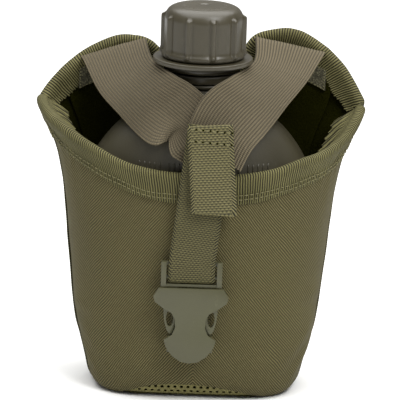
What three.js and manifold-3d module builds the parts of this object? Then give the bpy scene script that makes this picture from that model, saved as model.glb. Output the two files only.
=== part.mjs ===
// A one-quart field canteen in its belt cover: a kidney-shaped plastic bottle with a screw cap and tether,
// in a lined nylon cover with two elastic straps, a pull tab and a side-release buckle.
// Millimetres, +Z up, the front faces -Y, and the origin is where the bottle's axis meets the floor.
import * as THREE from "three";
import { mergeVertices } from "three/addons/utils/BufferGeometryUtils.js";
import Module from "manifold-3d";

const wasm = await Module();
wasm.setup();

// ---------------------------------------------------------------- driving dimensions

const GAP = 0.3; // clearance between pieces that touch
const LAYER_GAP = 0.7; // clearance between curved layers of fabric
const BACK_GAP = 0.9; // the same, between the back panel and its lining
const SHELL = 0.9; // outer fabric
const LINING = 1.0; // pile lining
const TAPE = 0.7; // grosgrain binding
const TAPE_WIDTH = 12.5; // one leg of the folded binding
const WEBBING = 1.2; // nylon webbing
const ELASTIC = 1.5;
const RIM_FRONT = 119; // height of the front rim at its middle
const RIM_CORNER = 145; // height of the mouth's two corners
const BASE_PLATE = 1.4;
const BOTTLE_BASE = 2.0;
const BOTTLE_WALL = 1.8;
const NECK_RADIUS = 15.2;
const NECK_BORE = 12.6;
const NECK_FOOT = 155.3;
const NECK_LEDGE = 163.8;
const NECK_TOP = 196.3;
const CAP_TOP = 203.2;
const CAP_SKIRT = 176.1; // lower edge of the cap's skirt
const CAP_RADIUS = 20.6;
const CAP_RIB_RADIUS = 22.3;
const CAP_RIBS = 10;
const CAP_BORE = 17.3;
const THREAD_PITCH = 4;
const TETHER_RING_RADIUS = 26;
const WEB_WIDTH = 25;
const DROP_WIDTH = 24;
const BUCKLE_X = -2.3; // the buckle hangs a little left of the middle
const BUCKLE_TOP = 62.9;
const PLATE_BACK = -41.2; // the housing's rear face
const PLATE = 1.5; // the housing's plates
const CAVITY = 3.0; // the space between them
const CARRIER_X = 38; // the two carrying straps, one on each side

// Profiles of the cover over height: half width, front and rear reach, and the side seam's place in depth.
const coverHalfWidth = through([
  [0, 49.5], [2, 52.3], [6, 54.9], [13, 57.1], [24, 60.1], [32, 62.6], [46, 64.8], [73, 67.8], [100, 70.6],
  [119, 74.3], [132, 79], [RIM_CORNER, 85], [165, 90],
]);
const coverFront = through([
  [0, 31], [4, 35], [12, 37.3], [30, 38.6], [50, 39.2], [90, 39.4], [119, 38.8], [150, 36],
]);
const coverBack = through([[0, 27], [5, 32], [16, 35.5], [40, 36.5], [118, 36.5], [150, 37.2], [186, 37]]);
const coverSeam = through([[0, 9], [24, 14], [73, 16.5], [119, 19], [RIM_CORNER, 23]]);
const coverSquare = through([[0, 0.5], [10, 0.6], [30, 0.72], [60, 0.82], [90, 0.87]]); // lower is squarer
const BACK_POWER = 4; // how late the flat back turns to the side seam

// The bottle over height: half width and half depth.
const bottleHalfWidth = through([
  [BOTTLE_BASE, 42], [6, 47], [12, 49.5], [24, 53.5], [46, 58.5], [73, 62.5], [95, 64], [109.3, 61],
  [122.3, 55], [132.3, 48.5], [140.3, 41], [147.3, 31], [152.3, 20.5], [NECK_FOOT, 17],
]);
const bottleHalfDepth = through([
  [BOTTLE_BASE, 24], [6, 28.5], [12, 30.5], [46, 32.5], [73, 33], [109.3, 33], [122.3, 32], [134.3, 30.3],
  [143.3, 27.5], [149.3, 23.5], [NECK_FOOT, 17],
]);
const BOTTLE_POWER = 2 / 2.3;
const BOTTLE_BEND = 4; // how far the bottle's two ends curve back round the hip
const BOTTLE_HOLLOW = 5; // the dip down the middle of its back

// ---------------------------------------------------------------- helpers

// A smooth curve through [key, value] pairs, level beyond its ends.
function through(pairs) {
  const last = pairs.length - 1;
  const slope = (i) => {
    const a = pairs[Math.max(0, i - 1)];
    const b = pairs[Math.min(last, i + 1)];
    return (b[1] - a[1]) / (b[0] - a[0]);
  };
  return (key) => {
    if (key <= pairs[0][0]) return pairs[0][1];
    if (key >= pairs[last][0]) return pairs[last][1];
    const i = pairs.findIndex((p, n) => key < pairs[n + 1][0]);
    const [k0, v0] = pairs[i];
    const [k1, v1] = pairs[i + 1];
    const span = k1 - k0;
    const t = (key - k0) / span;
    return (
      v0 * (1 + 2 * t) * (1 - t) ** 2 + v1 * t * t * (3 - 2 * t) +
      slope(i) * span * t * (1 - t) ** 2 - slope(i + 1) * span * t * t * (1 - t)
    );
  };
}

const mix = (a, b, t) => a + (b - a) * t;
const power = (value, exponent) => Math.sign(value) * Math.abs(value) ** exponent;
// Rows that lie closer together near both edges of a panel.
const row = (v) => (1 - Math.cos(v * Math.PI)) / 2;
const clamp01 = (t) => Math.min(1, Math.max(0, t));

// Signed volume of an indexed geometry, to tell which way its faces point.
function signedVolume(geometry) {
  const p = geometry.getAttribute("position");
  const index = geometry.index.array;
  const a = new THREE.Vector3();
  const b = new THREE.Vector3();
  const c = new THREE.Vector3();
  let sum = 0;
  for (let i = 0; i < index.length; i += 3) {
    a.fromBufferAttribute(p, index[i]);
    b.fromBufferAttribute(p, index[i + 1]);
    c.fromBufferAttribute(p, index[i + 2]);
    sum += a.dot(b.cross(c));
  }
  return sum;
}

// One closed surface with shared vertices and its faces pointing out.
function closed(geometry) {
  const bare = geometry.index ? geometry.clone() : mergeVertices(geometry.clone(), 0);
  bare.deleteAttribute("normal");
  bare.deleteAttribute("uv");
  const merged = mergeVertices(bare, 1e-4);
  if (signedVolume(merged) < 0) {
    const index = merged.index.array;
    for (let i = 0; i < index.length; i += 3) [index[i], index[i + 1]] = [index[i + 1], index[i]];
  }
  return merged;
}

// A block of cells bent to shape: place(u, v, w) gives the point for each corner, with u, v, w from 0 to 1.
function bent(cellsU, cellsV, place, cellsW = 1) {
  const block = new THREE.BoxGeometry(1, 1, 1, cellsU, cellsV, cellsW);
  const p = block.getAttribute("position");
  for (let i = 0; i < p.count; i++) {
    const [x, y, z] = place(p.getX(i) + 0.5, p.getY(i) + 0.5, p.getZ(i) + 0.5);
    p.setXYZ(i, x, y, z);
  }
  return closed(block);
}

function solid(geometry) {
  const made = closed(geometry);
  return new wasm.Manifold(
    new wasm.Mesh({
      numProp: 3,
      vertProperties: new Float32Array(made.getAttribute("position").array),
      triVerts: new Uint32Array(made.index.array),
    }),
  );
}

function geometryOf(manifold) {
  const m = manifold.getMesh();
  return new THREE.BufferGeometry()
    .setAttribute("position", new THREE.BufferAttribute(new Float32Array(m.vertProperties), 3))
    .setIndex(new THREE.BufferAttribute(new Uint32Array(m.triVerts), 1));
}

const joined = (...geometries) => geometryOf(geometries.map(solid).reduce((a, b) => a.add(b)));
const cut = (geometry, ...tools) =>
  geometryOf(tools.map(solid).reduce((a, b) => a.subtract(b), solid(geometry)));

// A box from its lowest to its highest corner.
function box([x0, y0, z0], [x1, y1, z1]) {
  return new THREE.BoxGeometry(x1 - x0, y1 - y0, z1 - z0)
    .translate((x0 + x1) / 2, (y0 + y1) / 2, (z0 + z1) / 2);
}

// A turned piece about the Z axis, from [radius, height] pairs.
function turned(pairs, segments = 32) {
  const outline = pairs.map(([r, z]) => new THREE.Vector2(r, z));
  return new THREE.LatheGeometry(outline, segments).rotateX(Math.PI / 2);
}

// A shape drawn in X and Z, given thickness from y = front to y = back.
function upright(shape, front, back, curveSegments = 6) {
  return new THREE.ExtrudeGeometry(shape, { depth: back - front, bevelEnabled: false, curveSegments })
    .rotateX(Math.PI / 2)
    .translate(0, back, 0);
}

function outline(points, smooth = true) {
  const corners = points.map(([x, z]) => new THREE.Vector2(x, z));
  if (!smooth) return new THREE.Shape(corners);
  return new THREE.Shape(new THREE.SplineCurve([...corners, corners[0]]).getPoints(points.length * 2));
}

const mirrored = (half) => [...half, ...half.filter(([x]) => x > 0).reverse().map(([x, z]) => [-x, z])];
const moved = (points, dx) => points.map(([x, z]) => [x + dx, z]);

const lineThrough = (points) =>
  new THREE.CatmullRomCurve3(points.map((p) => new THREE.Vector3(...p)), false, "centripetal");

// A strip of webbing: its middle line as [x, y, z] points, width across X and thickness across the line.
function strap(points, width, thickness, cells, widthCells = 1) {
  const line = lineThrough(points);
  return bent(widthCells, cells, (u, v, w) => {
    const middle = line.getPointAt(v);
    const along = line.getTangentAt(v);
    const out = new THREE.Vector3(1, 0, 0).cross(along).normalize();
    middle.addScaledVector(out, (w - 0.5) * thickness);
    return [middle.x + (u - 0.5) * width, middle.y, middle.z];
  });
}

// ---------------------------------------------------------------- the cover's two surfaces

// A point on the front, from u = -1 at the left seam to u = 1 at the right one, before any offset.
function frontRaw(u, z) {
  const turn = (u * Math.PI) / 2;
  const seam = coverSeam(z);
  const square = coverSquare(z);
  return new THREE.Vector3(
    coverHalfWidth(z) * power(Math.sin(turn), square),
    seam - (seam + coverFront(z)) * Math.abs(Math.cos(turn)) ** square,
    z,
  );
}

function backRaw(u, z) {
  const back = coverBack(z);
  const seam = coverSeam(z);
  return new THREE.Vector3(u * coverHalfWidth(z), back - (back - seam) * Math.abs(u) ** BACK_POWER, z);
}

// The same point moved along the surface's outward normal.
function offsetFrom(raw, facing) {
  return (u, z, offset) => {
    const du = 1e-3;
    const at = Math.max(-1 + du, Math.min(1 - du, u));
    const across = raw(at + du, z).sub(raw(at - du, z));
    const up = raw(at, z + 0.1).sub(raw(at, z - 0.1));
    const normal = across.cross(up).normalize().multiplyScalar(facing);
    return raw(u, z).addScaledVector(normal, offset).toArray();
  };
}
const frontPoint = offsetFrom(frontRaw, 1);
const backPoint = offsetFrom(backRaw, -1);

// Front rim: low in the middle and rising to the corners, sooner on the left.
const frontRim = through([
  [-1, RIM_CORNER], [-0.9, 143], [-0.8, 140.5], [-0.58, 133], [-0.4, 126.5], [-0.2, 120.3], [0, RIM_FRONT],
  [0.2, 119.6], [0.46, 125], [0.68, 129.5], [0.8, 133.5], [0.9, 139], [1, RIM_CORNER],
]);

// Lower edge of the front: an arch, left of the middle, that shows the mesh.
const ARCH = { middle: -8, left: 36, right: 52, height: 5.6 };
const frontHem = (u) => {
  const away = frontRaw(u, 4).x - ARCH.middle;
  const t = clamp01(1 - Math.abs(away) / (away < 0 ? ARCH.left : ARCH.right));
  return BASE_PLATE + GAP + ARCH.height * t * t * (3 - 2 * t);
};

// Top edge of the back: two ears with a notch between them for the neck. The left ear slopes more.
const LEFT_EAR = [
  [-85, RIM_CORNER], [-80, 151], [-71.5, 160.5], [-62, 167.8], [-52, 172.8], [-42, 175.6], [-33, 175.6],
  [-26, 171.5], [-21, 162], [-14, 152.5],
];
const RIGHT_EAR = [
  [14, 152.5], [21.5, 161.5], [25.6, 173.6], [32, 179.6], [44, 181.6], [57, 177.9], [69, 168.2], [78, 157.3],
  [85, RIM_CORNER],
];
const earEdge = new THREE.SplineCurve(
  [...LEFT_EAR, [0, 150], ...RIGHT_EAR].map(([x, z]) => new THREE.Vector2(x, z)),
);

// ---------------------------------------------------------------- cover: panels, lining and base

function frontPanel() {
  return bent(26, 8, (u, v, w) => {
    const across = mix(-0.985, 0.985, u);
    return frontPoint(across, mix(frontHem(across), frontRim(across), row(v)), mix(-SHELL, 0, w));
  });
}

function frontLining() {
  const outer = -SHELL - LAYER_GAP;
  return bent(24, 6, (u, v, w) => {
    const across = mix(-0.955, 0.955, u);
    return frontPoint(across, mix(18, frontRim(across) - 0.5, v), mix(outer - LINING, outer, w));
  });
}

function backSheet(cellsU, cellsV, foot, trim, margin, far, near) {
  return bent(cellsU, cellsV, (u, v, w) => {
    const top = earEdge.getPoint(mix(margin, 1 - margin, u));
    const across = Math.max(-0.985, Math.min(0.985, top.x / coverHalfWidth(top.y)));
    return backPoint(across, mix(foot, top.y - trim, row(v)), mix(near, far, w));
  });
}

const backPanel = () => backSheet(32, 8, BASE_PLATE + GAP, 0, 0, 0, -SHELL);
const backLining = () => backSheet(26, 8, 16, 4, 3 / 32, -SHELL - BACK_GAP, -SHELL - BACK_GAP - LINING);

// The draining base: a plate of mesh on the floor, with a lip that rises inside the front's arch.
function meshBase() {
  const plate = bent(20, 2, (u, v, w) => {
    const z = w * BASE_PLATE;
    const across = mix(-0.97, 0.97, u);
    const front = frontRaw(across, z);
    const back = backRaw(front.x / coverHalfWidth(z), z);
    return [front.x, mix(front.y + 0.6, back.y - 0.6, v), z];
  });
  const lip = bent(12, 3, (u, v, w) => {
    const across = mix(-0.55, 0.5, u);
    const offset = mix(-SHELL - LAYER_GAP - 0.9, -SHELL - LAYER_GAP, w);
    const [x, y, z] = frontPoint(across, mix(0, 9.8, v), offset);
    return [x, y, v === 0 ? BASE_PLATE - 0.4 : z];
  });
  return joined(plate, lip);
}

// ---------------------------------------------------------------- cover: binding and seams

const BOUND = SHELL + LAYER_GAP + LINING; // thickness inside the folded tape
// Where a point of the folded tape lies: its depth below the edge, and its offset from the outer surface.
function fold(s, w, width = TAPE_WIDTH) {
  const half = BOUND / 2 + LAYER_GAP + 0.3 + w * TAPE;
  const middle = -BOUND / 2;
  if (s < 0.4) return [width * (1 - s / 0.4), middle + half];
  if (s > 0.6) return [(width * (s - 0.6)) / 0.4, middle - half];
  const turn = ((s - 0.4) / 0.2) * Math.PI;
  return [-half * Math.sin(turn), middle + half * Math.cos(turn)];
}

function frontBinding() {
  return bent(30, 8, (u, s, w) => {
    const across = mix(-0.92, 0.92, u);
    const [depth, offset] = fold(s, w);
    return frontPoint(across, frontRim(across) - depth, offset);
  });
}

function backBinding() {
  return bent(44, 8, (u, s, w) => {
    const t = mix(0.035, 0.965, u);
    const edge = earEdge.getPoint(t);
    const along = earEdge.getTangent(t);
    const [depth, offset] = fold(s, w, 10.5);
    const x = edge.x + along.y * depth;
    const z = edge.y - along.x * depth;
    return backPoint(x / coverHalfWidth(z), z, offset);
  });
}

// The tape that closes a side seam, on the outside.
function seamTape(side) {
  return bent(12, 4, (u, v, w) => {
    const z = mix(6, 126, u);
    const offset = LAYER_GAP + 0.1 + w * TAPE;
    if (v < 0.45) return frontPoint(side * (1 - (0.5 - v) * 0.14), z, offset);
    if (v > 0.55) return backPoint(side * (1 - (v - 0.5) * 0.1), z, offset);
    return [side * (coverHalfWidth(z) + offset), coverSeam(z), z];
  });
}

// The patch that backs an elastic strap's stitching, inside an ear.
function earPatch(side) {
  const face = -SHELL - LAYER_GAP - LINING - LAYER_GAP;
  return bent(4, 2, (u, v, w) => {
    const z = mix(150, 165, v) + Math.min(0, side) * 6;
    return backPoint((side * mix(40, 56, u)) / coverHalfWidth(z), z, mix(face - 0.9, face, w));
  });
}

// ---------------------------------------------------------------- closure: elastic straps and webbing

// A strap between two edges, each a smooth line through a few points. Thickness lies on the outer side.
function ribbon(outer, inner, cells, thickness) {
  const edges = [outer, inner].map((e) => lineThrough(e));
  const at = (s, v) => edges[0].getPoint(clamp01(s)).lerp(edges[1].getPoint(clamp01(s)), v);
  return bent(cells, 4, (s, v, w) => {
    const along = at(s + 0.01, v).sub(at(s - 0.01, v));
    const across = at(s, v + 0.01).sub(at(s, v - 0.01));
    const out = along.cross(across).normalize();
    if (out.y > 0) out.negate();
    return at(s, v).addScaledVector(out, w * thickness).toArray();
  });
}

function leftElastic() {
  return ribbon(
    [
      [-62.8, 26.2, 167.2], [-53.5, 8, 153], [-42.2, -9, 145], [-33, -21, 139.4], [-24, -30.5, 135],
      [-4, -35.2, 128],
    ],
    [
      [-30.2, 26.8, 178.6], [-25.4, 8, 170.9], [-15, -19, 170], [-5, -26, 166], [4, -28.5, 158],
      [15, -34.6, 143],
    ],
    18,
    ELASTIC,
  );
}

function rightElastic() {
  return ribbon(
    [
      [63.4, 25.8, 172], [54.5, 9, 161.2], [43, -8, 150.5], [33, -27, 141], [26, -36.4, 134],
      [21, -39.5, 124],
    ],
    [
      [27.3, 26.8, 181.4], [26, 8, 171], [14, -22.5, 169.8], [5, -32, 166], [-2, -36, 158],
      [-8, -39.8, 143],
    ],
    18,
    ELASTIC,
  );
}

const strapX = (z) => mix(BUCKLE_X, 5.6, clamp01((z - 76) / 72));

// The strap from the elastics down to the buckle's bar, round it, and back up to its free end.
function dropStrap() {
  const front = [
    [148, -42.8], [132, -43.2], [119, -43.4], [105, -43.8], [88, -44.7], [78, -45.5], [70, -45.6],
  ];
  const bend = [[66.4, -45.1], [65.7, -43.75], [66.4, -42.4]];
  const rear = [[70, -41.9], [80, -41.8], [97, -41.8]];
  const line = [...front, ...bend, ...rear].map(([z, y]) => [strapX(z), y, z]);
  return strap(line, DROP_WIDTH, WEBBING, 40);
}

// A loop of webbing in front of the strap, pulled to free the buckle.
function pullTab() {
  const rear = [[149, -44.4], [136, -44.9], [122, -45.3], [106, -46]];
  const bend = [[103.6, -46.5], [103, -47.4], [103.8, -48.3]];
  const front = [[106, -48.6], [122, -47.6], [136, -46.9], [149, -46.1]];
  const line = [...rear, ...bend, ...front].map(([z, y]) => [mix(8.1, 5.8, clamp01((z - 103) / 46)), y, z]);
  return strap(line, 24.5, WEBBING, 30);
}

// ---------------------------------------------------------------- buckle

const FACE_OUT = PLATE_BACK - PLATE - CAVITY - PLATE; // the housing's front face
const CAVITY_BACK = PLATE_BACK - PLATE;
const CAVITY_FRONT = CAVITY_BACK - CAVITY;
const PLATE_OUTLINE = [
  [16.8, BUCKLE_TOP], [19.5, 58.4], [18.6, 55.4], [14.1, 52], [9.8, 49.6], [8, 46.2], [7.8, 41.6], [9.4, 37.8],
  [13.5, 35.2], [12.4, 31.5], [9, 26.6], [4.4, 23.5], [0, 22.8],
];

// The female half: a front plate with finger wings and a round foot, a rear plate, and walls between them.
function housing() {
  const full = outline(moved(mirrored(PLATE_OUTLINE), BUCKLE_X), false);
  const plate = upright(full, FACE_OUT, CAVITY_FRONT);
  const rearOutline = [[16.2, 61.8], [16.2, 54.2], [8, 48], [7.8, 41], [10, 37.4], [11.5, 34.6]];
  const rear = upright(
    outline(moved(mirrored(rearOutline), BUCKLE_X), false),
    CAVITY_BACK,
    PLATE_BACK,
  );
  const walls = [-1, 1].map((side) => {
    const [near, far] = [11.3, 16.2].map((x) => BUCKLE_X + side * x);
    return box([Math.min(near, far), CAVITY_FRONT - 0.4, 54.2], [Math.max(near, far), PLATE_BACK, 61.8]);
  });
  const stop = box([BUCKLE_X - 11.5, CAVITY_FRONT - 0.4, 34.4], [BUCKLE_X + 11.5, PLATE_BACK, 36.8]);
  const cheeks = [-1, 1].map((side) => {
    const [near, far] = [10.4, 11.8].map((x) => BUCKLE_X + side * x);
    const low = [Math.min(near, far), CAVITY_FRONT - 0.4, 28.4];
    return box(low, [Math.max(near, far), PLATE_BACK - 0.4, 35]);
  });
  const bar = new THREE.CylinderGeometry(1.1, 1.1, 21.4, 10)
    .rotateZ(Math.PI / 2)
    .translate(BUCKLE_X, -42.9, 30);
  return joined(plate, rear, ...walls, stop, ...cheeks, bar);
}

// The male half's frame: two rails, the strap's bar, an upper bar and the base of the prongs.
function buckleFrame() {
  const rails = [-1, 1].map((side) => {
    const [near, far] = [13.1, 15.8].map((x) => BUCKLE_X + side * x);
    return box([Math.min(near, far), -45.8, BUCKLE_TOP + GAP], [Math.max(near, far), -42.2, 76.6]);
  });
  const bar = new THREE.CylinderGeometry(1, 1, 27, 10)
    .rotateZ(Math.PI / 2)
    .translate(BUCKLE_X, -43.75, 68.2);
  const upper = box([BUCKLE_X - 13.6, -44.5, 74.6], [BUCKLE_X + 13.6, -42.9, 76.6]);
  const base = box([BUCKLE_X - 13.6, -45.4, BUCKLE_TOP + GAP], [BUCKLE_X + 13.6, -42.9, 64.8]);
  return joined(...rails, bar, upper, base);
}

// A sprung prong of the male half, with its oval hole. It latches under the housing's side wall.
function prong(side) {
  const edge = [
    [7.4, 62.9], [10.9, 62.9], [10.9, 54], [13.9, 53.2], [14, 49.5], [13.4, 44.5], [12.2, 40.2], [10.9, 38.2],
    [9.4, 38.6], [8.1, 42], [7.4, 48],
  ];
  const shape = outline(edge.map(([x, z]) => [BUCKLE_X + side * x, z]), false);
  const hole = new THREE.Path();
  hole.absellipse(BUCKLE_X + side * 10.7, 46.4, 1.9, 4.4, 0, Math.PI * 2, side < 0);
  shape.holes.push(hole);
  return upright(shape, CAVITY_FRONT + GAP, CAVITY_BACK - GAP, 8);
}

// The webbing that ties the housing's bar to the front panel.
function anchorLoop() {
  const line = [
    [60, -40.4], [50, -40.4], [38, -40.3], [32, -40.6], [28.4, -41.6], [27.6, -42.9], [28.4, -44.2],
    [31, -44.9], [33.6, -44.9],
  ];
  return strap(line.map(([z, y]) => [BUCKLE_X, y, z]), 20, 0.8, 24);
}

// ---------------------------------------------------------------- carrying straps on the back

// A row of webbing across the back.
function backRow(middle) {
  return bent(24, 1, (u, v, w) => {
    const z = middle + (v - 0.5) * WEB_WIDTH;
    return backPoint(mix(-58, 58, u) / coverHalfWidth(z), z, mix(LAYER_GAP, LAYER_GAP + WEBBING, w));
  });
}

// A stiffened strap that hangs from the back and snaps to it, with room behind for a belt.
function carrier(side) {
  const line = [
    [146.5, 39.1], [143.5, 41.2], [137, 44.3], [120, 45], [108, 45], [95, 45], [82, 45], [70, 45],
    [54, 44.2], [47, 41.6], [40, 40.6], [26, 40.2],
  ];
  return strap(line.map(([z, y]) => [side * CARRIER_X, y, z]), WEB_WIDTH, 1.6, 24);
}

const SNAP_Z = 35;
// The snap's stud on the cover, and its cap through the strap.
function snapStud(side) {
  const ring = [[0, 0], [5, 0], [5, 1], [2.6, 1.2], [2.9, 2.2], [0, 2.2]];
  return new THREE.LatheGeometry(ring.map(([r, y]) => new THREE.Vector2(r, y)), 18)
    .translate(side * CARRIER_X, 36.9, SNAP_Z);
}
function snapCap(side) {
  const dome = [[0, 0], [6.2, 0], [6.4, 0.8], [5.4, 1.7], [3, 2.2], [0, 2.3]];
  return new THREE.LatheGeometry(dome.map(([r, y]) => new THREE.Vector2(r, y)), 18)
    .translate(side * CARRIER_X, 41.6, SNAP_Z);
}

// ---------------------------------------------------------------- bottle, cap and tether

// A point on the bottle: share is 0 on its axis and 1 on its wall, inset is how far inside the surface.
function bottlePoint(turn, z, share, inset) {
  const shape = clamp01((NECK_FOOT - z) / 14); // 1 on the body, 0 on the round neck
  const exponent = mix(1, BOTTLE_POWER, shape);
  const halfWidth = (z > NECK_FOOT ? NECK_RADIUS : bottleHalfWidth(z)) - inset;
  const halfDepth = (z > NECK_FOOT ? NECK_RADIUS : bottleHalfDepth(z)) - inset;
  const x = halfWidth * power(Math.cos(turn), exponent);
  const y = halfDepth * power(Math.sin(turn), exponent);
  const side = x / halfWidth;
  const hollow = y > 0 && Math.abs(side) < 0.65 ? BOTTLE_HOLLOW * Math.cos((Math.PI * side) / 1.3) ** 2 : 0;
  const bend = shape * (BOTTLE_BEND * side * side - hollow * Math.min(1, (2 * y) / halfDepth));
  return [share * x, share * (y + bend), z];
}

// The bottle is turned as a unit lathe, then each ring is bent to the section at its height.
function bottleShell() {
  const outer = [
    [0, BOTTLE_BASE], [0.55, BOTTLE_BASE], [0.93, BOTTLE_BASE], [1, 3.4], [1, 7], [1, 14], [1, 30], [1, 52],
    [1, 76], [1, 98], [1, 109.3], [1, 121.3], [1, 131.3], [1, 139.3], [1, 146.3], [1, 151.3], [1, NECK_FOOT],
  ];
  const inner = [
    [1, 151.3], [1, 144.3], [1, 133.3], [1, 117.3], [1, 98], [1, 60], [1, 26], [1, 7], [0.9, 3.8], [0, 3.8],
  ];
  const profile = [
    ...outer.map(([share, z]) => ({ share, z, inset: 0 })),
    ...inner.map(([share, z]) => ({ share, z, inset: BOTTLE_WALL })),
  ];
  const SEGMENTS = 36;
  const unit = new THREE.LatheGeometry(profile.map((p, i) => new THREE.Vector2(p.share, i)), SEGMENTS);
  const p = unit.getAttribute("position");
  for (let i = 0; i < p.count; i++) {
    const { share, z, inset } = profile[Math.round(p.getY(i))];
    const turn = Math.atan2(p.getZ(i), p.getX(i));
    const [x, y] = bottlePoint(turn, z, share, inset);
    p.setXYZ(i, x, y, z);
  }
  return unit;
}

function helix(root, crest, start, turns, rootWidth, crestWidth) {
  const run = 14; // cells a turn
  return bent(Math.round(run * turns), 1, (u, v, w) => {
    const angle = u * turns * 2 * Math.PI;
    const fade = clamp01(Math.min(u, 1 - u) * turns * 8);
    const radius = mix(root, mix(root, crest, Math.max(0.05, fade)), w);
    const z = start + (THREAD_PITCH * angle) / (2 * Math.PI) + (v - 0.5) * mix(rootWidth, crestWidth, w);
    return [radius * Math.cos(angle), radius * Math.sin(angle), z];
  });
}

// Shell, neck with its two beads and ledge, and one and a half turns of thread.
function bottleBody() {
  const neck = turned([
    [NECK_BORE, 149.3], [17, 149.3], [17.2, 155.9], [17.4, 157.7], [19, 158.1], [19, 159.9], [17.4, 160.3],
    [17.4, 161.7], [19, 162.1], [19, NECK_LEDGE], [NECK_RADIUS, NECK_LEDGE + 0.2], [NECK_RADIUS, NECK_TOP - 0.5],
    [NECK_RADIUS - 0.5, NECK_TOP], [NECK_BORE, NECK_TOP], [NECK_BORE, 149.3],
  ], 32);
  const thread = helix(NECK_RADIUS - 0.4, 16.6, 181.3, 1.75, 1.9, 0.9);
  const bore = turned([[0, 143.3], [NECK_BORE, 143.3], [NECK_BORE, NECK_TOP + 2], [0, NECK_TOP + 2]], 32);
  return cut(joined(bottleShell(), neck, thread), bore);
}

function capShell() {
  const body = turned([
    [CAP_BORE, 169.7], [20.4, 169.7], [20.4, 172.7], [19.1, 172.9], [19.1, CAP_SKIRT], [21.3, CAP_SKIRT],
    [21.7, CAP_SKIRT + 0.6], [21.5, CAP_SKIRT + 2.6], [CAP_RADIUS + 0.2, CAP_SKIRT + 3.4],
    [CAP_RADIUS, 196.3], [20.2, 198.4], [19.2, 200.3], [17.6, 201.7], [15, 202.8], [12, CAP_TOP], [0, CAP_TOP],
    [0, 198.5], [CAP_BORE, 198.5], [CAP_BORE, 169.7],
  ], 40);
  const ribs = Array.from({ length: CAP_RIBS }, (_, i) =>
    new THREE.CapsuleGeometry(1.35, 18.2, 2, 6)
      .rotateX(Math.PI / 2)
      .translate(CAP_RIB_RADIUS - 1.35, 0, 188.1)
      .rotateZ(((i * 36 - 112) * Math.PI) / 180),
  );
  const thread = helix(CAP_BORE + 0.4, 15.9, 181.3 + THREAD_PITCH / 2, 1.25, 1.9, 0.9);
  return joined(body, ...ribs, thread);
}

function gasket() {
  const low = NECK_TOP + GAP;
  return turned([[9, low], [16.4, low], [16.4, 198.2], [9, 198.2], [9, low]], 28);
}

function ring(inner, outer, low, high) {
  const face = outer - 0.5; // the outer corners are cut off by half a millimetre
  const section = [
    [inner, low], [face, low], [outer, low + 0.5], [outer, high - 0.5], [face, high], [inner, high], [inner, low],
  ];
  return turned(section, 36);
}

// The tether's strap: a loop behind the neck, from the ring on the neck to the ring on the cap.
function tetherStrap() {
  const line = [
    [0, 20.2, 166.7], [0, 27, 163.9], [0, 35, 163.3], [0, 40, 166.7], [0, 39.6, 171.9], [0, 34, 174.9],
    [0, 26.5, 174.5],
  ];
  return strap(line, 8, 1.6, 16);
}

// ---------------------------------------------------------------- assembly

const MATERIALS = {
  fabric: { color: 0x585138, roughness: 0.9, metalness: 0 },
  lining: { color: 0x1d1f0c, roughness: 1, metalness: 0 },
  mesh: { color: 0x4f4b2c, roughness: 0.95, metalness: 0 },
  binding: { color: 0x5c5739, roughness: 0.85, metalness: 0 },
  webbing: { color: 0x6b6648, roughness: 0.8, metalness: 0 },
  elastic: { color: 0x6d6553, roughness: 0.85, metalness: 0 },
  patch: { color: 0x3e3c2d, roughness: 1, metalness: 0 },
  buckle: { color: 0x66634c, roughness: 0.5, metalness: 0 },
  bottle: { color: 0x4a463a, roughness: 0.55, metalness: 0 },
  cap: { color: 0x57534a, roughness: 0.4, metalness: 0 },
  seal: { color: 0x1a1a18, roughness: 0.8, metalness: 0 },
  metal: { color: 0x3a3b34, roughness: 0.45, metalness: 0.8 },
};

const canteen = new THREE.Group();
const cover = new THREE.Group();
const closure = new THREE.Group();
const buckle = new THREE.Group();
const bottle = new THREE.Group();
canteen.add(cover, closure, buckle, bottle);

function add(group, name, material, geometry) {
  const mesh = new THREE.Mesh(geometry, new THREE.MeshStandardMaterial(MATERIALS[material]));
  mesh.name = name;
  group.add(mesh);
}

add(cover, "front_panel", "fabric", frontPanel());
add(cover, "back_panel", "fabric", backPanel());
add(cover, "front_lining", "lining", frontLining());
add(cover, "back_lining", "lining", backLining());
add(cover, "mesh_base", "mesh", meshBase());
add(cover, "front_binding", "binding", frontBinding());
add(cover, "back_binding", "binding", backBinding());
for (const [side, name] of [[-1, "left"], [1, "right"]]) {
  add(cover, `${name}_seam_tape`, "binding", seamTape(side));
  add(cover, `${name}_ear_patch`, "patch", earPatch(side));
  add(cover, `${name}_carrying_strap`, "webbing", carrier(side));
  add(cover, `${name}_snap_stud`, "metal", snapStud(side));
  add(cover, `${name}_snap_cap`, "metal", snapCap(side));
}
for (const [name, middle] of [["upper", 122], ["lower", 76]]) {
  add(cover, `${name}_back_webbing`, "webbing", backRow(middle));
}

add(closure, "left_elastic", "elastic", leftElastic());
add(closure, "right_elastic", "elastic", rightElastic());
add(closure, "drop_strap", "webbing", dropStrap());
add(closure, "pull_tab", "webbing", pullTab());

add(buckle, "buckle_housing", "buckle", housing());
add(buckle, "buckle_frame", "buckle", buckleFrame());
add(buckle, "left_prong", "buckle", prong(-1));
add(buckle, "right_prong", "buckle", prong(1));
add(buckle, "buckle_anchor_loop", "webbing", anchorLoop());

add(bottle, "bottle_body", "bottle", bottleBody());
add(bottle, "cap", "cap", capShell());
add(bottle, "cap_gasket", "seal", gasket());
add(bottle, "tether_cap_ring", "cap", ring(19.5, TETHER_RING_RADIUS, 173.2, 175.7));
add(bottle, "tether_neck_ring", "cap", ring(15.7, 19.6, 164.5, 168.7));
add(bottle, "tether_strap", "cap", tetherStrap());

export default canteen;
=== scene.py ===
"""A one-quart field canteen in its belt cover, on a plain pale floor.

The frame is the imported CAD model. Lengths here are in millimetres, in the CAD's own frame, and turn into
metres when a mesh is made. Materials, lights and the camera are in metres. The front faces -Y.
"""

import math

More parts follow.
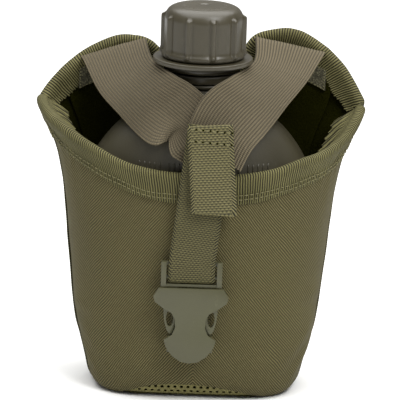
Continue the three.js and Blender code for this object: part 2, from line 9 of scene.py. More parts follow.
import bmesh
import bpy
import numpy as np
from mathutils import Matrix, Vector


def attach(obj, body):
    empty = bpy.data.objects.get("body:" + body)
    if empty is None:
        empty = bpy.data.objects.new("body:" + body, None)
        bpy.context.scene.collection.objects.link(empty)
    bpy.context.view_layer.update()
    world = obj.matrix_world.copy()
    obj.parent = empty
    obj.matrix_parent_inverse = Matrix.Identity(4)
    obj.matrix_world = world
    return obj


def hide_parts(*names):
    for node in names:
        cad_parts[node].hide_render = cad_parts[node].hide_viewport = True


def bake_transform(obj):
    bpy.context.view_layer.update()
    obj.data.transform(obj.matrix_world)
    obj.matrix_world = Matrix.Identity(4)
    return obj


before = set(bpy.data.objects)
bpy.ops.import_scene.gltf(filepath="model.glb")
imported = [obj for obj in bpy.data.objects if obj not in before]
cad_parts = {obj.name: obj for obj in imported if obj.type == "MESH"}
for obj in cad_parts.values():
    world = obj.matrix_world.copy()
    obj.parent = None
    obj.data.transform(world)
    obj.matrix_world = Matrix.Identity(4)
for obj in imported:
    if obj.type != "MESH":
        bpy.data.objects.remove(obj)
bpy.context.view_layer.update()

MM = 0.001

# ---------------------------------------- dimensions, as in the CAD

SHELL = 0.9  # outer fabric
LINING = 1.0  # pile lining
LAYER_GAP = 0.7
BACK_GAP = 0.9
TAPE = 0.7  # grosgrain binding
TAPE_WIDTH = 12.5
RIM_FRONT = 119
RIM_CORNER = 145
BASE_PLATE = 1.4
NECK_RADIUS = 15.2
NECK_BORE = 12.6
NECK_FOOT = 155.3
NECK_TOP = 196.3
CAP_TOP = 203.2
CAP_SKIRT = 176.1
CAP_RIBS = 10
THREAD_START = 181.3
THREAD_PITCH = 4
BUCKLE_X = -2.3
CARRIER_X = 38
SNAP_Z = 35
BACK_POWER = 4
BOTTLE_POWER = 2.3  # the exponent of the bottle's oval section
BOTTLE_BEND = 4
BOTTLE_HOLLOW = 5
ARCH_MIDDLE = -8
ARCH_LEFT = 36
ARCH_RIGHT = 52
ARCH_HEIGHT = 6.6
ARCH_SHAPE = 1.5
LEFT_EAR = [
    (-85, RIM_CORNER), (-80, 151), (-71.5, 160.5), (-62, 167.8), (-52, 172.8), (-42, 175.6), (-33, 175.6),
    (-26, 171.5), (-21, 162), (-14, 152.5),
]
RIGHT_EAR = [
    (14, 152.5), (21.5, 161.5), (25.6, 173.6), (32, 179.6), (44, 181.6), (57, 177.9), (69, 168.2),
    (78, 157.3), (85, RIM_CORNER),
]
SIDES = ((-1, "left"), (1, "right"))
STITCH_SINK = 0.12  # how deep a thread lies in the cloth


# ---------------------------------------- curves and surfaces


def through(pairs):
    """A smooth curve through (key, value) pairs, level beyond its ends."""
    keys, values = np.array(pairs, float).T
    last = len(keys) - 1
    before = np.maximum(np.arange(last + 1) - 1, 0)
    after = np.minimum(np.arange(last + 1) + 1, last)
    slopes = (values[after] - values[before]) / (keys[after] - keys[before])

    def curve(key):
        k = np.clip(np.asarray(key, float), keys[0], keys[-1])
        i = np.clip(np.searchsorted(keys, k, side="right") - 1, 0, last - 1)
        span = keys[i + 1] - keys[i]
        t = (k - keys[i]) / span
        level = values[i] * (1 + 2 * t) * (1 - t) ** 2 + values[i + 1] * t * t * (3 - 2 * t)
        lean = slopes[i] * t * (1 - t) ** 2 - slopes[i + 1] * t * t * (1 - t)
        return level + span * lean

    return curve


cover_half_width = through(
    [(0, 49.5), (2, 52.3), (6, 54.9), (13, 57.1), (24, 60.1), (32, 62.6), (46, 64.8), (73, 67.8), (100, 70.6),
     (119, 74.3), (132, 79), (RIM_CORNER, 85), (165, 90)]
)
cover_front = through(
    [(0, 31), (4, 35), (12, 37.3), (30, 38.6), (50, 39.2), (90, 39.4), (119, 38.8), (150, 36)]
)
cover_back = through([(0, 27), (5, 32), (16, 35.5), (40, 36.5), (118, 36.5), (150, 37.2), (186, 37)])
cover_seam = through([(0, 9), (24, 14), (73, 16.5), (119, 19), (RIM_CORNER, 23)])
cover_square = through([(0, 0.5), (10, 0.6), (30, 0.72), (60, 0.82), (90, 0.87)])  # squarer near the floor
front_rim = through(
    [(-1, RIM_CORNER), (-0.9, 143), (-0.8, 140.5), (-0.58, 133), (-0.4, 126.5), (-0.2, 120.3), (0, RIM_FRONT),
     (0.2, 119.6), (0.46, 125), (0.68, 129.5), (0.8, 133.5), (0.9, 139), (1, RIM_CORNER)]
)
bottle_half_width = through(
    [(2, 42), (6, 47), (12, 49.5), (24, 53.5), (46, 58.5), (73, 62.5), (95, 64), (109.3, 61), (122.3, 55),
     (132.3, 48.5), (140.3, 41), (147.3, 31), (152.3, 20.5), (NECK_FOOT, 17)]
)
bottle_half_depth = through(
    [(2, 24), (6, 28.5), (12, 30.5), (46, 32.5), (73, 33), (109.3, 33), (122.3, 32), (134.3, 30.3),
     (143.3, 27.5), (149.3, 23.5), (NECK_FOOT, 17)]
)


def mix(a, b, t):
    return a + (b - a) * t


def power(value, exponent):
    return np.sign(value) * np.abs(value) ** exponent


def smooth(t):
    t = np.clip(t, 0, 1)
    return t * t * (3 - 2 * t)


def bump(distance, width):
    """1 on a line and 0 far from it."""
    return np.exp(-((distance / width) ** 2))


def unit(v):
    return v / np.maximum(np.linalg.norm(v, axis=-1, keepdims=True), 1e-12)


def points_of(*coordinates):
    """Points, or UVs, from their separate coordinates, some of which may be plain numbers."""
    return np.stack(np.broadcast_arrays(*coordinates), -1)


def grid(first, second):
    """Two values over a grid: the first goes from row to row, the second from column to column."""
    return np.meshgrid(first, second, indexing="ij")


def front_raw(u, z):
    """A point on the front, from u = -1 at the left seam to u = 1 at the right one."""
    turn = u * math.pi / 2
    seam, square = cover_seam(z), cover_square(z)
    x = cover_half_width(z) * power(np.sin(turn), square)
    y = seam - (seam + cover_front(z)) * np.abs(np.cos(turn)) ** square
    return points_of(x, y, z)


def front_share(x, z):
    """The u of the front's point at a given x."""
    share = np.clip(np.abs(x) / cover_half_width(z), 0, 1)
    return np.sign(x) * np.arcsin(share ** (1 / cover_square(z))) * 2 / math.pi


def back_raw(u, z):
    """A point on the back, from u = -1 at the left seam to u = 1 at the right one."""
    back = cover_back(z)
    y = back - (back - cover_seam(z)) * np.abs(u) ** BACK_POWER
    return points_of(u * cover_half_width(z), y, z)


def offset_from(raw, facing):
    """The surface moved along its outward normal."""

    def place(u, z, offset):
        u, z, offset = np.broadcast_arrays(*(np.asarray(a, float) for a in (u, z, offset)))
        at = np.clip(u, -0.995, 0.995)
        across = raw(at + 1e-3, z) - raw(at - 1e-3, z)
        up = raw(at, z + 0.1) - raw(at, z - 0.1)
        normal = unit(np.cross(across, up)) * facing
        return raw(u, z) + normal * offset[..., None]

    return place


front_point = offset_from(front_raw, 1)
back_point = offset_from(back_raw, -1)


def front_hem(u):
    """Lower edge of the front, which hides the base's edge except at the arch."""
    away = front_raw(u, u * 0 + 4)[..., 0] - ARCH_MIDDLE
    reach = np.where(away < 0, ARCH_LEFT, ARCH_RIGHT)
    return 0.2 + (ARCH_HEIGHT + BASE_PLATE) * smooth(1 - (np.abs(away) / reach) ** ARCH_SHAPE)


def spline(points):
    """A uniform Catmull-Rom curve with t from 0 to 1 along its points."""
    knots = np.array(points, float)
    last = len(knots) - 1

    def at(t):
        place = np.clip(np.asarray(t, float), 0, 1) * last
        i = np.minimum(place.astype(int), last - 1)
        w = (place - i)[..., None]
        p0, p1, p2, p3 = (knots[np.clip(i + k, 0, last)] for k in (-1, 0, 1, 2))
        v0, v1 = (p2 - p0) * 0.5, (p3 - p1) * 0.5
        return (2 * p1 - 2 * p2 + v0 + v1) * w**3 + (-3 * p1 + 3 * p2 - 2 * v0 - v1) * w**2 + v0 * w + p1

    return at


def length_along(points, axis=0):
    """How far each point lies along its line, or along every line of a grid in one direction."""
    steps = np.linalg.norm(np.diff(points, axis=axis), axis=-1)
    return np.insert(np.cumsum(steps, axis=axis), 0, 0, axis=axis)


def even(points, count):
    """Points evenly spaced along a line."""
    along = length_along(points)
    at = np.linspace(0, along[-1], count)
    return np.stack([np.interp(at, along, column) for column in points.T], -1)


ear_edge = spline(LEFT_EAR + [(0, 150)] + RIGHT_EAR)


# Smooth noise made of sines, the same on every run.
_waves = np.random.default_rng(7).normal(size=(24, 3))
_phases = np.random.default_rng(8).uniform(0, 2 * math.pi, 24)


def wander(size, *place):
    """Smooth noise from -1 to 1 over two or three coordinates, with features of about this size."""
    p = points_of(*place) / size * 2.2
    return np.clip(np.sin(p @ _waves[:, : len(place)].T + _phases).sum(-1) / 5.5, -1, 1)


# ---------------------------------------- meshes


def add(name, data, body=None):
    """A new object, riding on a CAD body if one is given."""
    o = bpy.data.objects.new(name, data)
    bpy.context.scene.collection.objects.link(o)
    if body:
        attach(o, body)
    return o


def present(o, slot, *nodes):
    """Hides the CAD nodes that a piece stands for. Its slot is not used."""
    if nodes:
        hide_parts(*nodes)
    return o


def make(name, points, faces, material, body, uv=None):
    """A mesh object from points in millimetres."""
    mesh = bpy.data.meshes.new(name)
    mesh.from_pydata((np.asarray(points, float) * MM).tolist(), [], np.asarray(faces).tolist())
    if uv is not None:
        index = np.zeros(len(mesh.loops), np.int32)
        mesh.loops.foreach_get("vertex_index", index)
        distances_m = (uv[index] * MM).astype(np.float32)
        mesh.uv_layers.new(name="UVMap").data.foreach_set("uv", distances_m.ravel())
    mesh.polygons.foreach_set("use_smooth", [True] * len(mesh.polygons))
    mesh.materials.append(material)
    return add(name, mesh, body)


def grid_faces(rows, cols, start=0, wrap=False):
    i, j = grid(np.arange(rows - 1), np.arange(cols if wrap else cols - 1))
    right = (j + 1) % cols
    corner = [i * cols + j, i * cols + right, (i + 1) * cols + right, (i + 1) * cols + j]
    return np.stack(corner, -1).reshape(-1, 4) + start


def finish_normals(o):
    """Point every face outwards."""
    b = bmesh.new()
    b.from_mesh(o.data)
    bmesh.ops.recalc_face_normals(b, faces=b.faces)
    b.to_mesh(o.data)
    b.free()
    return o


def shell(name, outer, inner, uv, material, body, lined_with=None):
    """A closed skin between two grids of points, the inner one in its own material if there is a second."""
    rows, cols = outer.shape[:2]
    count = rows * cols
    faces = [grid_faces(rows, cols), grid_faces(rows, cols, count)[:, ::-1]]
    top = np.arange(cols)
    side = np.arange(rows) * cols
    edges = ((top, True), (top + (rows - 1) * cols, False), (side, False), (side + cols - 1, True))
    for edge, turned in edges:
        a, b = edge[:-1], edge[1:]
        rim = np.stack([a, b, b + count, a + count], -1)
        faces.append(rim[:, ::-1] if turned else rim)
    points = np.concatenate([outer.reshape(-1, 3), inner.reshape(-1, 3)])
    o = make(name, points, np.concatenate(faces), material, body, np.tile(uv.reshape(-1, 2), (2, 1)))
    if lined_with:
        o.data.materials.append(lined_with)
        inside = np.zeros(len(o.data.polygons), np.int32)
        inside[len(faces[0]) : 2 * len(faces[0])] = 1
        o.data.polygons.foreach_set("material_index", inside)
    return finish_normals(o)


def lathe(profile, segments=96):
    """Rings of points for (radius, height) pairs."""
    turn = np.linspace(0, 2 * math.pi, segments, endpoint=False)
    radius, height = np.array(profile, float).T[..., None]
    return points_of(radius * np.cos(turn), radius * np.sin(turn), height)


def turned_object(name, rings, material, body):
    rows, cols = rings.shape[:2]
    return finish_normals(make(name, rings.reshape(-1, 3), grid_faces(rows, cols, wrap=True), material, body))


def stitch_frames(path, normals, pitch):
    """The middle of each stitch along a line, and its directions ahead, sideways and up."""
    along = length_along(path)
    count = max(1, int(along[-1] / pitch))
    middle = (np.arange(count) + 0.5) * along[-1] / count

    def at(values, distance):
        columns = np.broadcast_to(values, path.shape).T
        return np.stack([np.interp(distance, along, column) for column in columns], -1)

    up = unit(at(normals, middle))
    ahead = unit(at(path, middle + 0.2) - at(path, middle - 0.2))
    return at(path, middle), ahead, unit(np.cross(up, ahead)), up


def stitches(name, rows, body, pitch, share=0.74, radius=0.27, material=None):
    """Rows of separate stitches, each row given as a line on a surface and the surface's normals there."""
    stations = np.array([-1, -0.8, -0.3, 0.3, 0.8, 1.0]) * pitch * share / 2
    thick = np.array([0.35, 0.85, 1, 1, 0.85, 0.35]) * radius
    rise = np.array([-1.3, -0.1, 0.55, 0.55, -0.1, -1.3]) * radius - STITCH_SINK
    turn = np.arange(6) * math.pi / 3
    t = stations[:, None, None]
    b = np.outer(thick, np.cos(turn))[..., None]
    n = np.outer(thick, np.sin(turn))[..., None] + rise[:, None, None]
    points = []
    for path, normals in rows:
        centre, ahead, side, up = (a[:, None, None] for a in stitch_frames(path, normals, pitch))
        points.append((centre + t * ahead + b * side + n * up).reshape(-1, 3))
    points = np.concatenate(points)
    starts = np.arange(0, len(points), stations.size * turn.size)[:, None, None]
    faces = (grid_faces(stations.size, turn.size, wrap=True) + starts).reshape(-1, 4)
    return make(name, points, faces, material or THREAD, body)


def join(objects, name):
    """Several objects of one material and body as one."""
    first = objects[0]
    with bpy.context.temp_override(active_object=first, selected_editable_objects=objects):
        bpy.ops.object.join()
    first.name = name


# ---------------------------------------- materials


class Paint:
    """A procedural material under construction, whose UVs and object coordinates are uv and place."""

    def __init__(self, name):
        self.material = bpy.data.materials.new(name)
        self.material.use_nodes = True
        self.tree = self.material.node_tree
        self.shader = self.tree.nodes["Principled BSDF"]
        where = self.tree.nodes.new("ShaderNodeTexCoord").outputs
        self.uv, self.place = where["UV"], where["Object"]

    def node(self, kind, settings, *values, **named):
        """Adds a node. Its first inputs are given in order, and others by name."""
        n = self.tree.nodes.new(kind)
        for key, value in settings.items():
            setattr(n, key, value)
        for key, value in [*enumerate(values), *named.items()]:
            self.put(n.inputs[key], value)
        return n

    def put(self, socket, value):
        if isinstance(value, bpy.types.NodeSocket):
            self.tree.links.new(value, socket)
        else:
            socket.default_value = value

    def math(self, operation, *values):
        return self.node("ShaderNodeMath", {"operation": operation}, *values).outputs[0]

    def vector(self, operation, *values):
        return self.node("ShaderNodeVectorMath", {"operation": operation}, *values).outputs

    def noise(self, vector, scale, detail, roughness=0.55, stretch=None):
        if stretch:
            vector = self.vector("MULTIPLY", vector, stretch)[0]
        look = {"Scale": scale, "Detail": detail, "Roughness": roughness}
        return self.node("ShaderNodeTexNoise", {}, Vector=vector, **look).outputs["Fac"]

    def bent(self, scale, reach, base=None):
        """The UVs, or a base made from them, moved a little so that a weave isn't ruler-straight."""
        drift = self.noise(self.uv, scale, 2)
        return self.vector("MULTIPLY_ADD", drift, reach, self.uv if base is None else base)[0]

    def ripples(self, vector, direction, period, sharp=1.0):
        """Lines across a direction, 1 on their crests and 0 between them. The period is in metres."""
        size = math.hypot(*direction)
        aim = tuple(d / size * (2 * math.pi / period) for d in direction)
        wave = self.math("SINE", self.vector("DOT_PRODUCT", vector, aim)["Value"])
        level = self.math("MULTIPLY_ADD", wave, 0.5, 0.5)
        return self.math("POWER", level, sharp) if sharp != 1.0 else level

    def span(self, value, low=0.3, high=0.7, to_low=0.0, to_high=1.0):
        return self.node("ShaderNodeMapRange", {}, value, low, high, to_low, to_high).outputs[0]

    def blend(self, factor, a, b, kind="RGBA"):
        """Between two colours, or between two plain values with kind FLOAT."""
        n = self.node("ShaderNodeMix", {"data_type": kind}, factor)
        first, result = (6, 2) if kind == "RGBA" else (2, 0)
        self.put(n.inputs[first], a)
        self.put(n.inputs[first + 1], b)
        return n.outputs[result]

    def flecked(self, patchy, fleck, low, dark, light, speck):
        """Two tones in patches, with fine specks of a third."""
        tone = self.blend(self.span(patchy), rgb(*dark), rgb(*light))
        return self.blend(self.span(fleck, low, 0.65, 0, 0.3), tone, rgb(*speck))

    def relief(self, height, distance, strength, **under):
        n = self.node("ShaderNodeBump", {}, Height=height, Distance=distance, Strength=strength, **under)
        return n.outputs[0]

    def done(self, color, roughness, normal=None, **sockets):
        self.put(self.shader.inputs["Base Color"], color)
        self.put(self.shader.inputs["Roughness"], roughness)
        if normal is not None:
            self.put(self.shader.inputs["Normal"], normal)
        for key, value in sockets.items():
            self.shader.inputs[key.replace("_", " ")].default_value = value
        return self.material


def rgb(*levels):
    """A linear colour from sRGB values of 0 to 255."""
    shares = (c / 255 for c in levels)
    return (*(c / 12.92 if c <= 0.04045 else ((c + 0.055) / 1.055) ** 2.4 for c in shares), 1)


def paler(color, rise):
    return tuple(c + rise for c in color)


def duck_fabric():
    """Heavy nylon with a fine diagonal rib, on panels whose UVs are distances over the cloth."""
    p = Paint("nylon_duck")
    cloth = p.bent(60, (0.0016, 0.0016, 0), p.vector("ABSOLUTE", p.uv)[0])
    rib = p.ripples(cloth, (1, 1, 0), 0.00125, 0.9)
    yarn = p.ripples(cloth, (1, -1, 0), 0.0008)
    weave = p.math("MULTIPLY", rib, p.span(yarn, 0, 1, 0.72, 1))
    patchy = p.noise(p.uv, 16, 4)
    fleck = p.noise(p.uv, 1400, 1, stretch=(1, 0.3, 1))
    light = p.flecked(patchy, fleck, 0.35, (93, 86, 54), (102, 95, 62), (120, 113, 79))
    color = p.blend(p.span(weave, 0.05, 0.75), rgb(44, 40, 20), light)
    rough = p.span(patchy, to_low=0.82, to_high=0.92)
    return p.done(color, rough, p.relief(weave, 0.00028, 0.8), Specular_IOR_Level=0.25)


def grosgrain():
    """Ribbed binding tape: ribs cross the tape, along the UVs' first direction."""
    p = Paint("grosgrain")
    cloth = p.bent(90, (0.0016, 0.0006, 0))
    rib = p.ripples(cloth, (1, 0.08, 0), 0.0013, 0.8)
    pick = p.ripples(cloth, (0, 1, 0), 0.0006)
    weave = p.math("MULTIPLY", rib, p.span(pick, 0, 1, 0.82, 1))
    light = p.blend(p.span(p.noise(p.uv, 45, 3)), rgb(96, 92, 56), rgb(118, 113, 73))
    color = p.blend(p.span(weave, 0.12, 0.8), rgb(28, 26, 11), light)
    return p.done(color, 0.8, p.relief(weave, 0.0004, 0.9), Specular_IOR_Level=0.25)


def webbing(name, across, along, light, dark, selvage):
    """Nylon webbing: rows of knots, each row set off by half a knot, and a braided selvage."""
    p = Paint(name)
    cloth = p.bent(120, (0.0005, 0.0005, 0))
    column = p.span(p.ripples(cloth, (1, 0, 0), across), 0, 1, -1, 1)
    row = p.span(p.ripples(cloth, (0, 1, 0), 2 * along), 0, 1, -1, 1)
    knots = p.span(p.math("MULTIPLY", column, row), -0.8, 0.7)
    rows = p.ripples(cloth, (0, 1, 0), along, 0.6)
    knots = p.math("MULTIPLY", p.span(knots, 0, 1, 0.55, 1), p.span(rows, 0, 0.8, 0.4, 1))
    mirrored = p.vector("ABSOLUTE", cloth)[0]
    braid = p.ripples(mirrored, (1, 1, 0), 0.0012, 0.8)
    side = p.node("ShaderNodeSeparateXYZ", {}, mirrored).outputs[0]
    weave = p.blend(p.span(side, selvage - 0.0002, selvage), knots, braid, "FLOAT")
    patchy, fleck = p.noise(p.uv, 55, 3), p.noise(p.uv, 1800, 1)
    bright = p.flecked(patchy, fleck, 0.4, light, paler(light, 8), paler(light, 20))
    color = p.blend(p.span(weave, 0.3, 0.92), rgb(*dark), bright)
    return p.done(color, 0.72, p.relief(weave, 0.0003, 0.9), Specular_IOR_Level=0.3)


def elastic_weave():
    """The elastic's fine cross threads, and painted shade in stripes along its long ribs, which are in the
    mesh.
    """
    p = Paint("elastic")
    pick = p.ripples(p.uv, (0, 1, 0), 0.0009, 0.9)
    # Painted shade: dark stripes at the rib pitch along the ribs that the mesh already has.
    groove_shade = p.ripples(p.uv, (1, 0, 0), 0.00158)
    patchy, fleck = p.noise(p.uv, 40, 3), p.noise(p.uv, 1500, 1)
    light = p.flecked(patchy, fleck, 0.4, (101, 92, 71), (108, 98, 77), (130, 120, 99))
    # The cross threads are the weave's own pattern; the stripes along the ribs are painted shade.
    shade = p.math("MULTIPLY", p.span(pick, 0, 1, 0.75, 1), p.span(groove_shade, 0, 0.8, 0.3, 1))
    color = p.blend(shade, rgb(27, 24, 15), light)
    return p.done(color, 0.82, p.relief(pick, 0.00016, 0.7), Specular_IOR_Level=0.25)


def pile():
    """Short dark pile inside the cover."""
    p = Paint("pile")
    tuft = p.noise(p.place, 1300, 3, 0.7)
    nap = p.noise(p.place, 70, 3)
    color = p.blend(p.span(tuft, 0.35), rgb(22, 23, 2), rgb(36, 36, 8))
    color = p.blend(p.span(nap, 0.35, 0.7, 0, 0.6), color, rgb(27, 27, 5))
    return p.done(color, 1.0, p.relief(tuft, 0.0008, 0.9), Specular_IOR_Level=0.0)


def rough_patch():
    """The hooked half of a touch fastener."""
    p = Paint("rough_patch")
    hooks = p.node("ShaderNodeTexVoronoi", {}, Vector=p.place, Scale=900.0).outputs["Distance"]
    tone = p.noise(p.place, 90, 3)
    color = p.blend(p.span(hooks, 0.1, 0.6), rgb(106, 102, 78), rgb(58, 56, 40))
    color = p.blend(p.span(tone, to_high=0.4), color, rgb(84, 80, 59))
    return p.done(color, 0.9, p.relief(hooks, -0.0005, 0.8))


def moulded(name, light, dark, roughness, coat=0.0):
    """Moulded plastic: faint mottling, a fine skin, and light scuffs."""
    p = Paint(name)
    cloud = p.noise(p.place, 35, 4)
    skin = p.noise(p.place, 2200, 2)
    swirl = p.noise(p.place, 160, 5, 0.7)
    marks = p.noise(p.place, 500, 2, stretch=(1, 1, 0.18))
    worn = p.math("MULTIPLY", p.span(swirl, 0.58, 0.72, 0, 0.5), p.span(marks, 0.5, 0.62))
    color = p.blend(p.span(cloud), rgb(*dark), rgb(*light))
    color = p.blend(p.span(skin, to_high=0.12), color, rgb(*paler(light, 30)))
    color = p.blend(worn, color, rgb(*paler(light, 22)))
    rough = p.span(cloud, to_low=roughness - 0.05, to_high=roughness + 0.06)
    rough = p.math("ADD", rough, p.math("MULTIPLY", worn, 0.2))
    waves = p.relief(p.noise(p.place, 260, 3), 0.00025, 0.18)
    normal = p.relief(skin, 0.00008, 0.5, Normal=waves)
    return p.done(color, rough, normal, Coat_Weight=coat, Coat_Roughness=0.3)


def blackened_brass():
    p = Paint("blackened_brass")
    rub = p.noise(p.place, 220, 5, 0.7)
    fine = p.noise(p.place, 1600, 3)
    color = p.blend(p.span(rub, 0.55, 0.72), rgb(48, 48, 42), rgb(122, 104, 66))
    rough = p.span(fine, to_low=0.34, to_high=0.55)
    return p.done(color, rough, p.relief(fine, 0.00006, 0.4), Metallic=0.85)


def grainy(name, scale, detail, dark, light, roughness, depth, strength, low=0.3, **sockets):
    """One fine grain in two tones, for cords, threads and rubber."""
    p = Paint(name)
    grain = p.noise(p.place, scale, detail)
    color = p.blend(p.span(grain, low), rgb(*dark), rgb(*light))
    return p.done(color, roughness, p.relief(grain, depth, strength), **sockets)


FABRIC = duck_fabric()
BINDING = grosgrain()
TAB_WEB = webbing("tab_webbing", 0.0021, 0.00125, (110, 104, 67), (24, 22, 8), 0.0098)
STRAP_WEB = webbing("strap_webbing", 0.0019, 0.0011, (91, 86, 51), (23, 21, 7), 0.0105)
ELASTIC = elastic_weave()
PILE = pile()
PATCH = rough_patch()
BUCKLE = moulded("buckle_acetal", (73, 72, 46), (67, 65, 41), 0.42)
BOTTLE = moulded("bottle_polyethylene", (60, 56, 41), (53, 49, 34), 0.4)
CAP = moulded("cap_polypropylene", (60, 55, 39), (53, 48, 33), 0.38, coat=0.12)
BRASS = blackened_brass()
NET = grainy("net", 1500, 2, (104, 99, 60), (130, 124, 80), 0.75, 0.0002, 0.5, 0.35, Specular_IOR_Level=0.2)
SEAL = grainy("seal_rubber", 1200, 3, (24, 24, 22), (38, 38, 35), 0.75, 0.0001, 0.5)
THREAD = grainy("thread", 2400, 2, (92, 88, 58), (124, 119, 84), 0.6, 0.0001, 0.6, Specular_IOR_Level=0.3)


# ---------------------------------------- camera and light

SIGHT = Vector((0.0008, 0.0, 0.0986))  # the point at the middle of the view
DISTANCE = 2.2
ELEVATION = math.radians(14)
ROLL = math.radians(1.8)
FIELD = 0.210  # width of the view at the sight point
SENSOR = 36
FLOOR_REACH = 9000


def make_camera():
    data = bpy.data.cameras.new("camera")
    data.sensor_width = SENSOR
    data.lens = SENSOR * DISTANCE / FIELD
    data.clip_start = 0.05
    data.clip_end = 20
    camera = add("camera", data)
    back = Vector((0, -math.cos(ELEVATION), math.sin(ELEVATION)))
    aim = (-back).to_track_quat("-Z", "Y").to_matrix().to_4x4()
    place = Matrix.Translation(SIGHT + back * DISTANCE)
    camera.matrix_world = place @ aim @ Matrix.Rotation(ROLL, 4, "Z")
    bpy.context.scene.camera = camera


def area_light(name, place, aim, size, power_w):
    data = bpy.data.lights.new(name, "AREA")
    data.size = size
    data.energy = power_w
    light = add(name, data)
    light.location = place
    light.rotation_mode = "QUATERNION"
    light.rotation_quaternion = (Vector(aim) - Vector(place)).to_track_quat("-Z", "Y")


def make_stage():
    world = bpy.data.worlds.new("studio")
    world.use_nodes = True
    background = world.node_tree.nodes["Background"]
    background.inputs["Color"].default_value = (1, 1, 1, 1)
    background.inputs["Strength"].default_value = 0.27
    bpy.context.scene.world = world
    bpy.context.scene.view_settings.view_transform = "Standard"
    p = Paint("floor")
    color = p.blend(p.span(p.noise(p.place, 3, 3)), (0.86, 0.86, 0.85, 1), (0.9, 0.9, 0.89, 1))
    corners = [(x * FLOOR_REACH, y * FLOOR_REACH, 0) for x, y in ((-1, -1), (1, -1), (1, 1), (-1, 1))]
    make("floor", corners, [(0, 1, 2, 3)], p.done(color, 0.7), None)
    area_light("key", (0.55, -0.75, 1.0), (0, 0, 0.1), 0.5, 8)
    area_light("fill", (-0.9, -0.9, 0.4), (0, 0, 0.1), 0.7, 0.3)
    area_light("top", (0.0, 0.3, 1.5), (0, 0.3, 0), 2.4, 62)


make_camera()
make_stage()


# ---------------------------------------- cover: panels


def distances(points):
    """For a grid of points: how far each lies along its row and up its column, for the weave."""
    across = length_along(points)
    return points_of(across - across[len(across) // 2], length_along(points, 1))


def layer(name, surface, u, z, offsets, material, uv=None, lined_with=None):
    """A layer of the cover between two offsets from its front or back."""
    outer, inner = (surface(u, z, offset) for offset in offsets)
    return shell(name, outer, inner, distances(outer) if uv is None else uv, material, "cover", lined_with)


def panel(name, node, surface, u, z, fold):
    o = layer(name, surface, u, z, (fold, fold - SHELL), FABRIC, lined_with=PILE)
    present(o, "fabric", node)


def lining(name, node, surface, u, z, depth, nap):
    o = layer(name, surface, u, z, (-depth, -depth - LINING + nap), PILE)
    present(o, "lining", node)


def crease(u, z, start, end, width, height):
    """A soft ridge from one (u, z) to another, strongest in its middle."""
    scale = np.array([75.0, 1.0])
    a, b = np.array(start) * scale, np.array(end) * scale
    p = points_of(u * 75.0, z)
    d = b - a
    t = np.clip(((p - a) @ d) / (d @ d), 0, 1)
    away = np.linalg.norm(p - a - t[..., None] * d, axis=-1)
    return height * bump(away, width) * np.sin(math.pi * np.clip(t, 0.02, 0.98)) ** 0.7


FRONT_CREASES = [
    ((-0.9, 35), (-0.6, 41), 3.6, -0.9), ((-0.92, 42), (-0.64, 47), 4.0, 0.8),
    ((-0.9, 26), (-0.55, 9), 4.5, 0.9), ((-0.8, 34), (-0.42, 14), 5.0, 0.7),
    ((0.9, 44), (0.6, 49), 3.4, -0.9), ((0.92, 51), (0.64, 55), 4.0, 0.8),
    ((0.92, 30), (0.6, 8), 4.5, 1.5), ((0.8, 38), (0.4, 13), 5.0, 1.3),
    ((0.55, 28), (0.2, 13), 5.0, 0.7), ((-0.3, 20), (-0.08, 13), 4.0, 0.8),
    ((-0.78, 118), (-0.5, 74), 9.0, 0.7), ((0.82, 120), (0.55, 70), 9.0, 0.8),
    ((-0.45, 100), (-0.3, 40), 10.0, 0.5), ((0.5, 96), (0.36, 34), 10.0, 0.5),
    ((-0.2, 34), (0.16, 31), 5.0, -0.4),
]


def front_folds(u, z):
    """How far the cloth of the front stands off its smooth shape."""
    fold = 0.45 * wander(46, u * 75, z) + 0.16 * wander(17, u * 75, z)
    for line in FRONT_CREASES:
        fold = fold + crease(u, z, *line)
    under_rim = np.clip(front_rim(u) - 13 - z, 0, None)
    pucker = np.sin(u * 75 * 0.82 + 1.5 * np.sin(u * 9)) * np.exp(-under_rim / 7)
    return fold + 0.22 * pucker


def make_front():
    u, v = grid(0.985 * power(np.linspace(-1, 1, 261), 1.4), np.linspace(0, 1, 170))
    z = mix(front_hem(u), front_rim(u), v)
    calm = smooth(v / 0.04) * smooth((1 - v) / 0.06) * smooth((1 - np.abs(u)) / 0.05)
    panel("cover_front", "front_panel", front_point, u, z, front_folds(u, z) * calm)
    u, v = grid(np.linspace(-0.955, 0.955, 150), np.linspace(0, 1, 90))
    z = mix(18, front_rim(u) - 0.5, v)
    nap = 0.25 * wander(9, u * 75, z)
    lining("lining_front", "front_lining", front_point, u, z, SHELL + LAYER_GAP, nap)


def back_grid(columns, rows, foot, trim, margin):
    t = np.linspace(margin, 1 - margin, columns)
    top = ear_edge(t)
    across = np.clip(top[:, 0] / cover_half_width(top[:, 1]), -0.985, 0.985)
    v = (1 - np.cos(np.linspace(0, 1, rows) * math.pi)) / 2
    z = foot + (top[:, 1:] - trim - foot) * v
    return np.broadcast_to(across[:, None], z.shape), z


def back_folds(u, z):
    """How far the cloth of the back stands off its smooth shape."""
    fold = 0.5 * wander(44, u * 80 + 40, z + 40, 40)
    fold += 0.9 * bump(np.abs(u) - 0.55, 0.12) * bump(z - 150, 18)
    return fold + crease(u, z, (-0.9, 40), (-0.5, 46), 5, 0.8) + crease(u, z, (0.9, 52), (0.5, 44), 5, 0.8)


def make_back():
    u, z = back_grid(240, 150, 0.2, 0, 0)
    top = ear_edge(np.linspace(0, 1, 240))[:, 1:]
    calm = smooth((z - 3) / 10) * smooth((top - z) / 8) * smooth((1 - np.abs(u)) / 0.08)
    panel("cover_back", "back_panel", back_point, u, z, back_folds(u, z) * calm * 0.6)
    u, z = back_grid(170, 110, 16, 4, 3 / 32)
    nap = -0.3 * np.abs(wander(9, u * 75 + 9, z + 9))
    lining("lining_back", "back_lining", back_point, u, z, SHELL + BACK_GAP, nap)


make_front()
make_back()


# ---------------------------------------- cover: binding

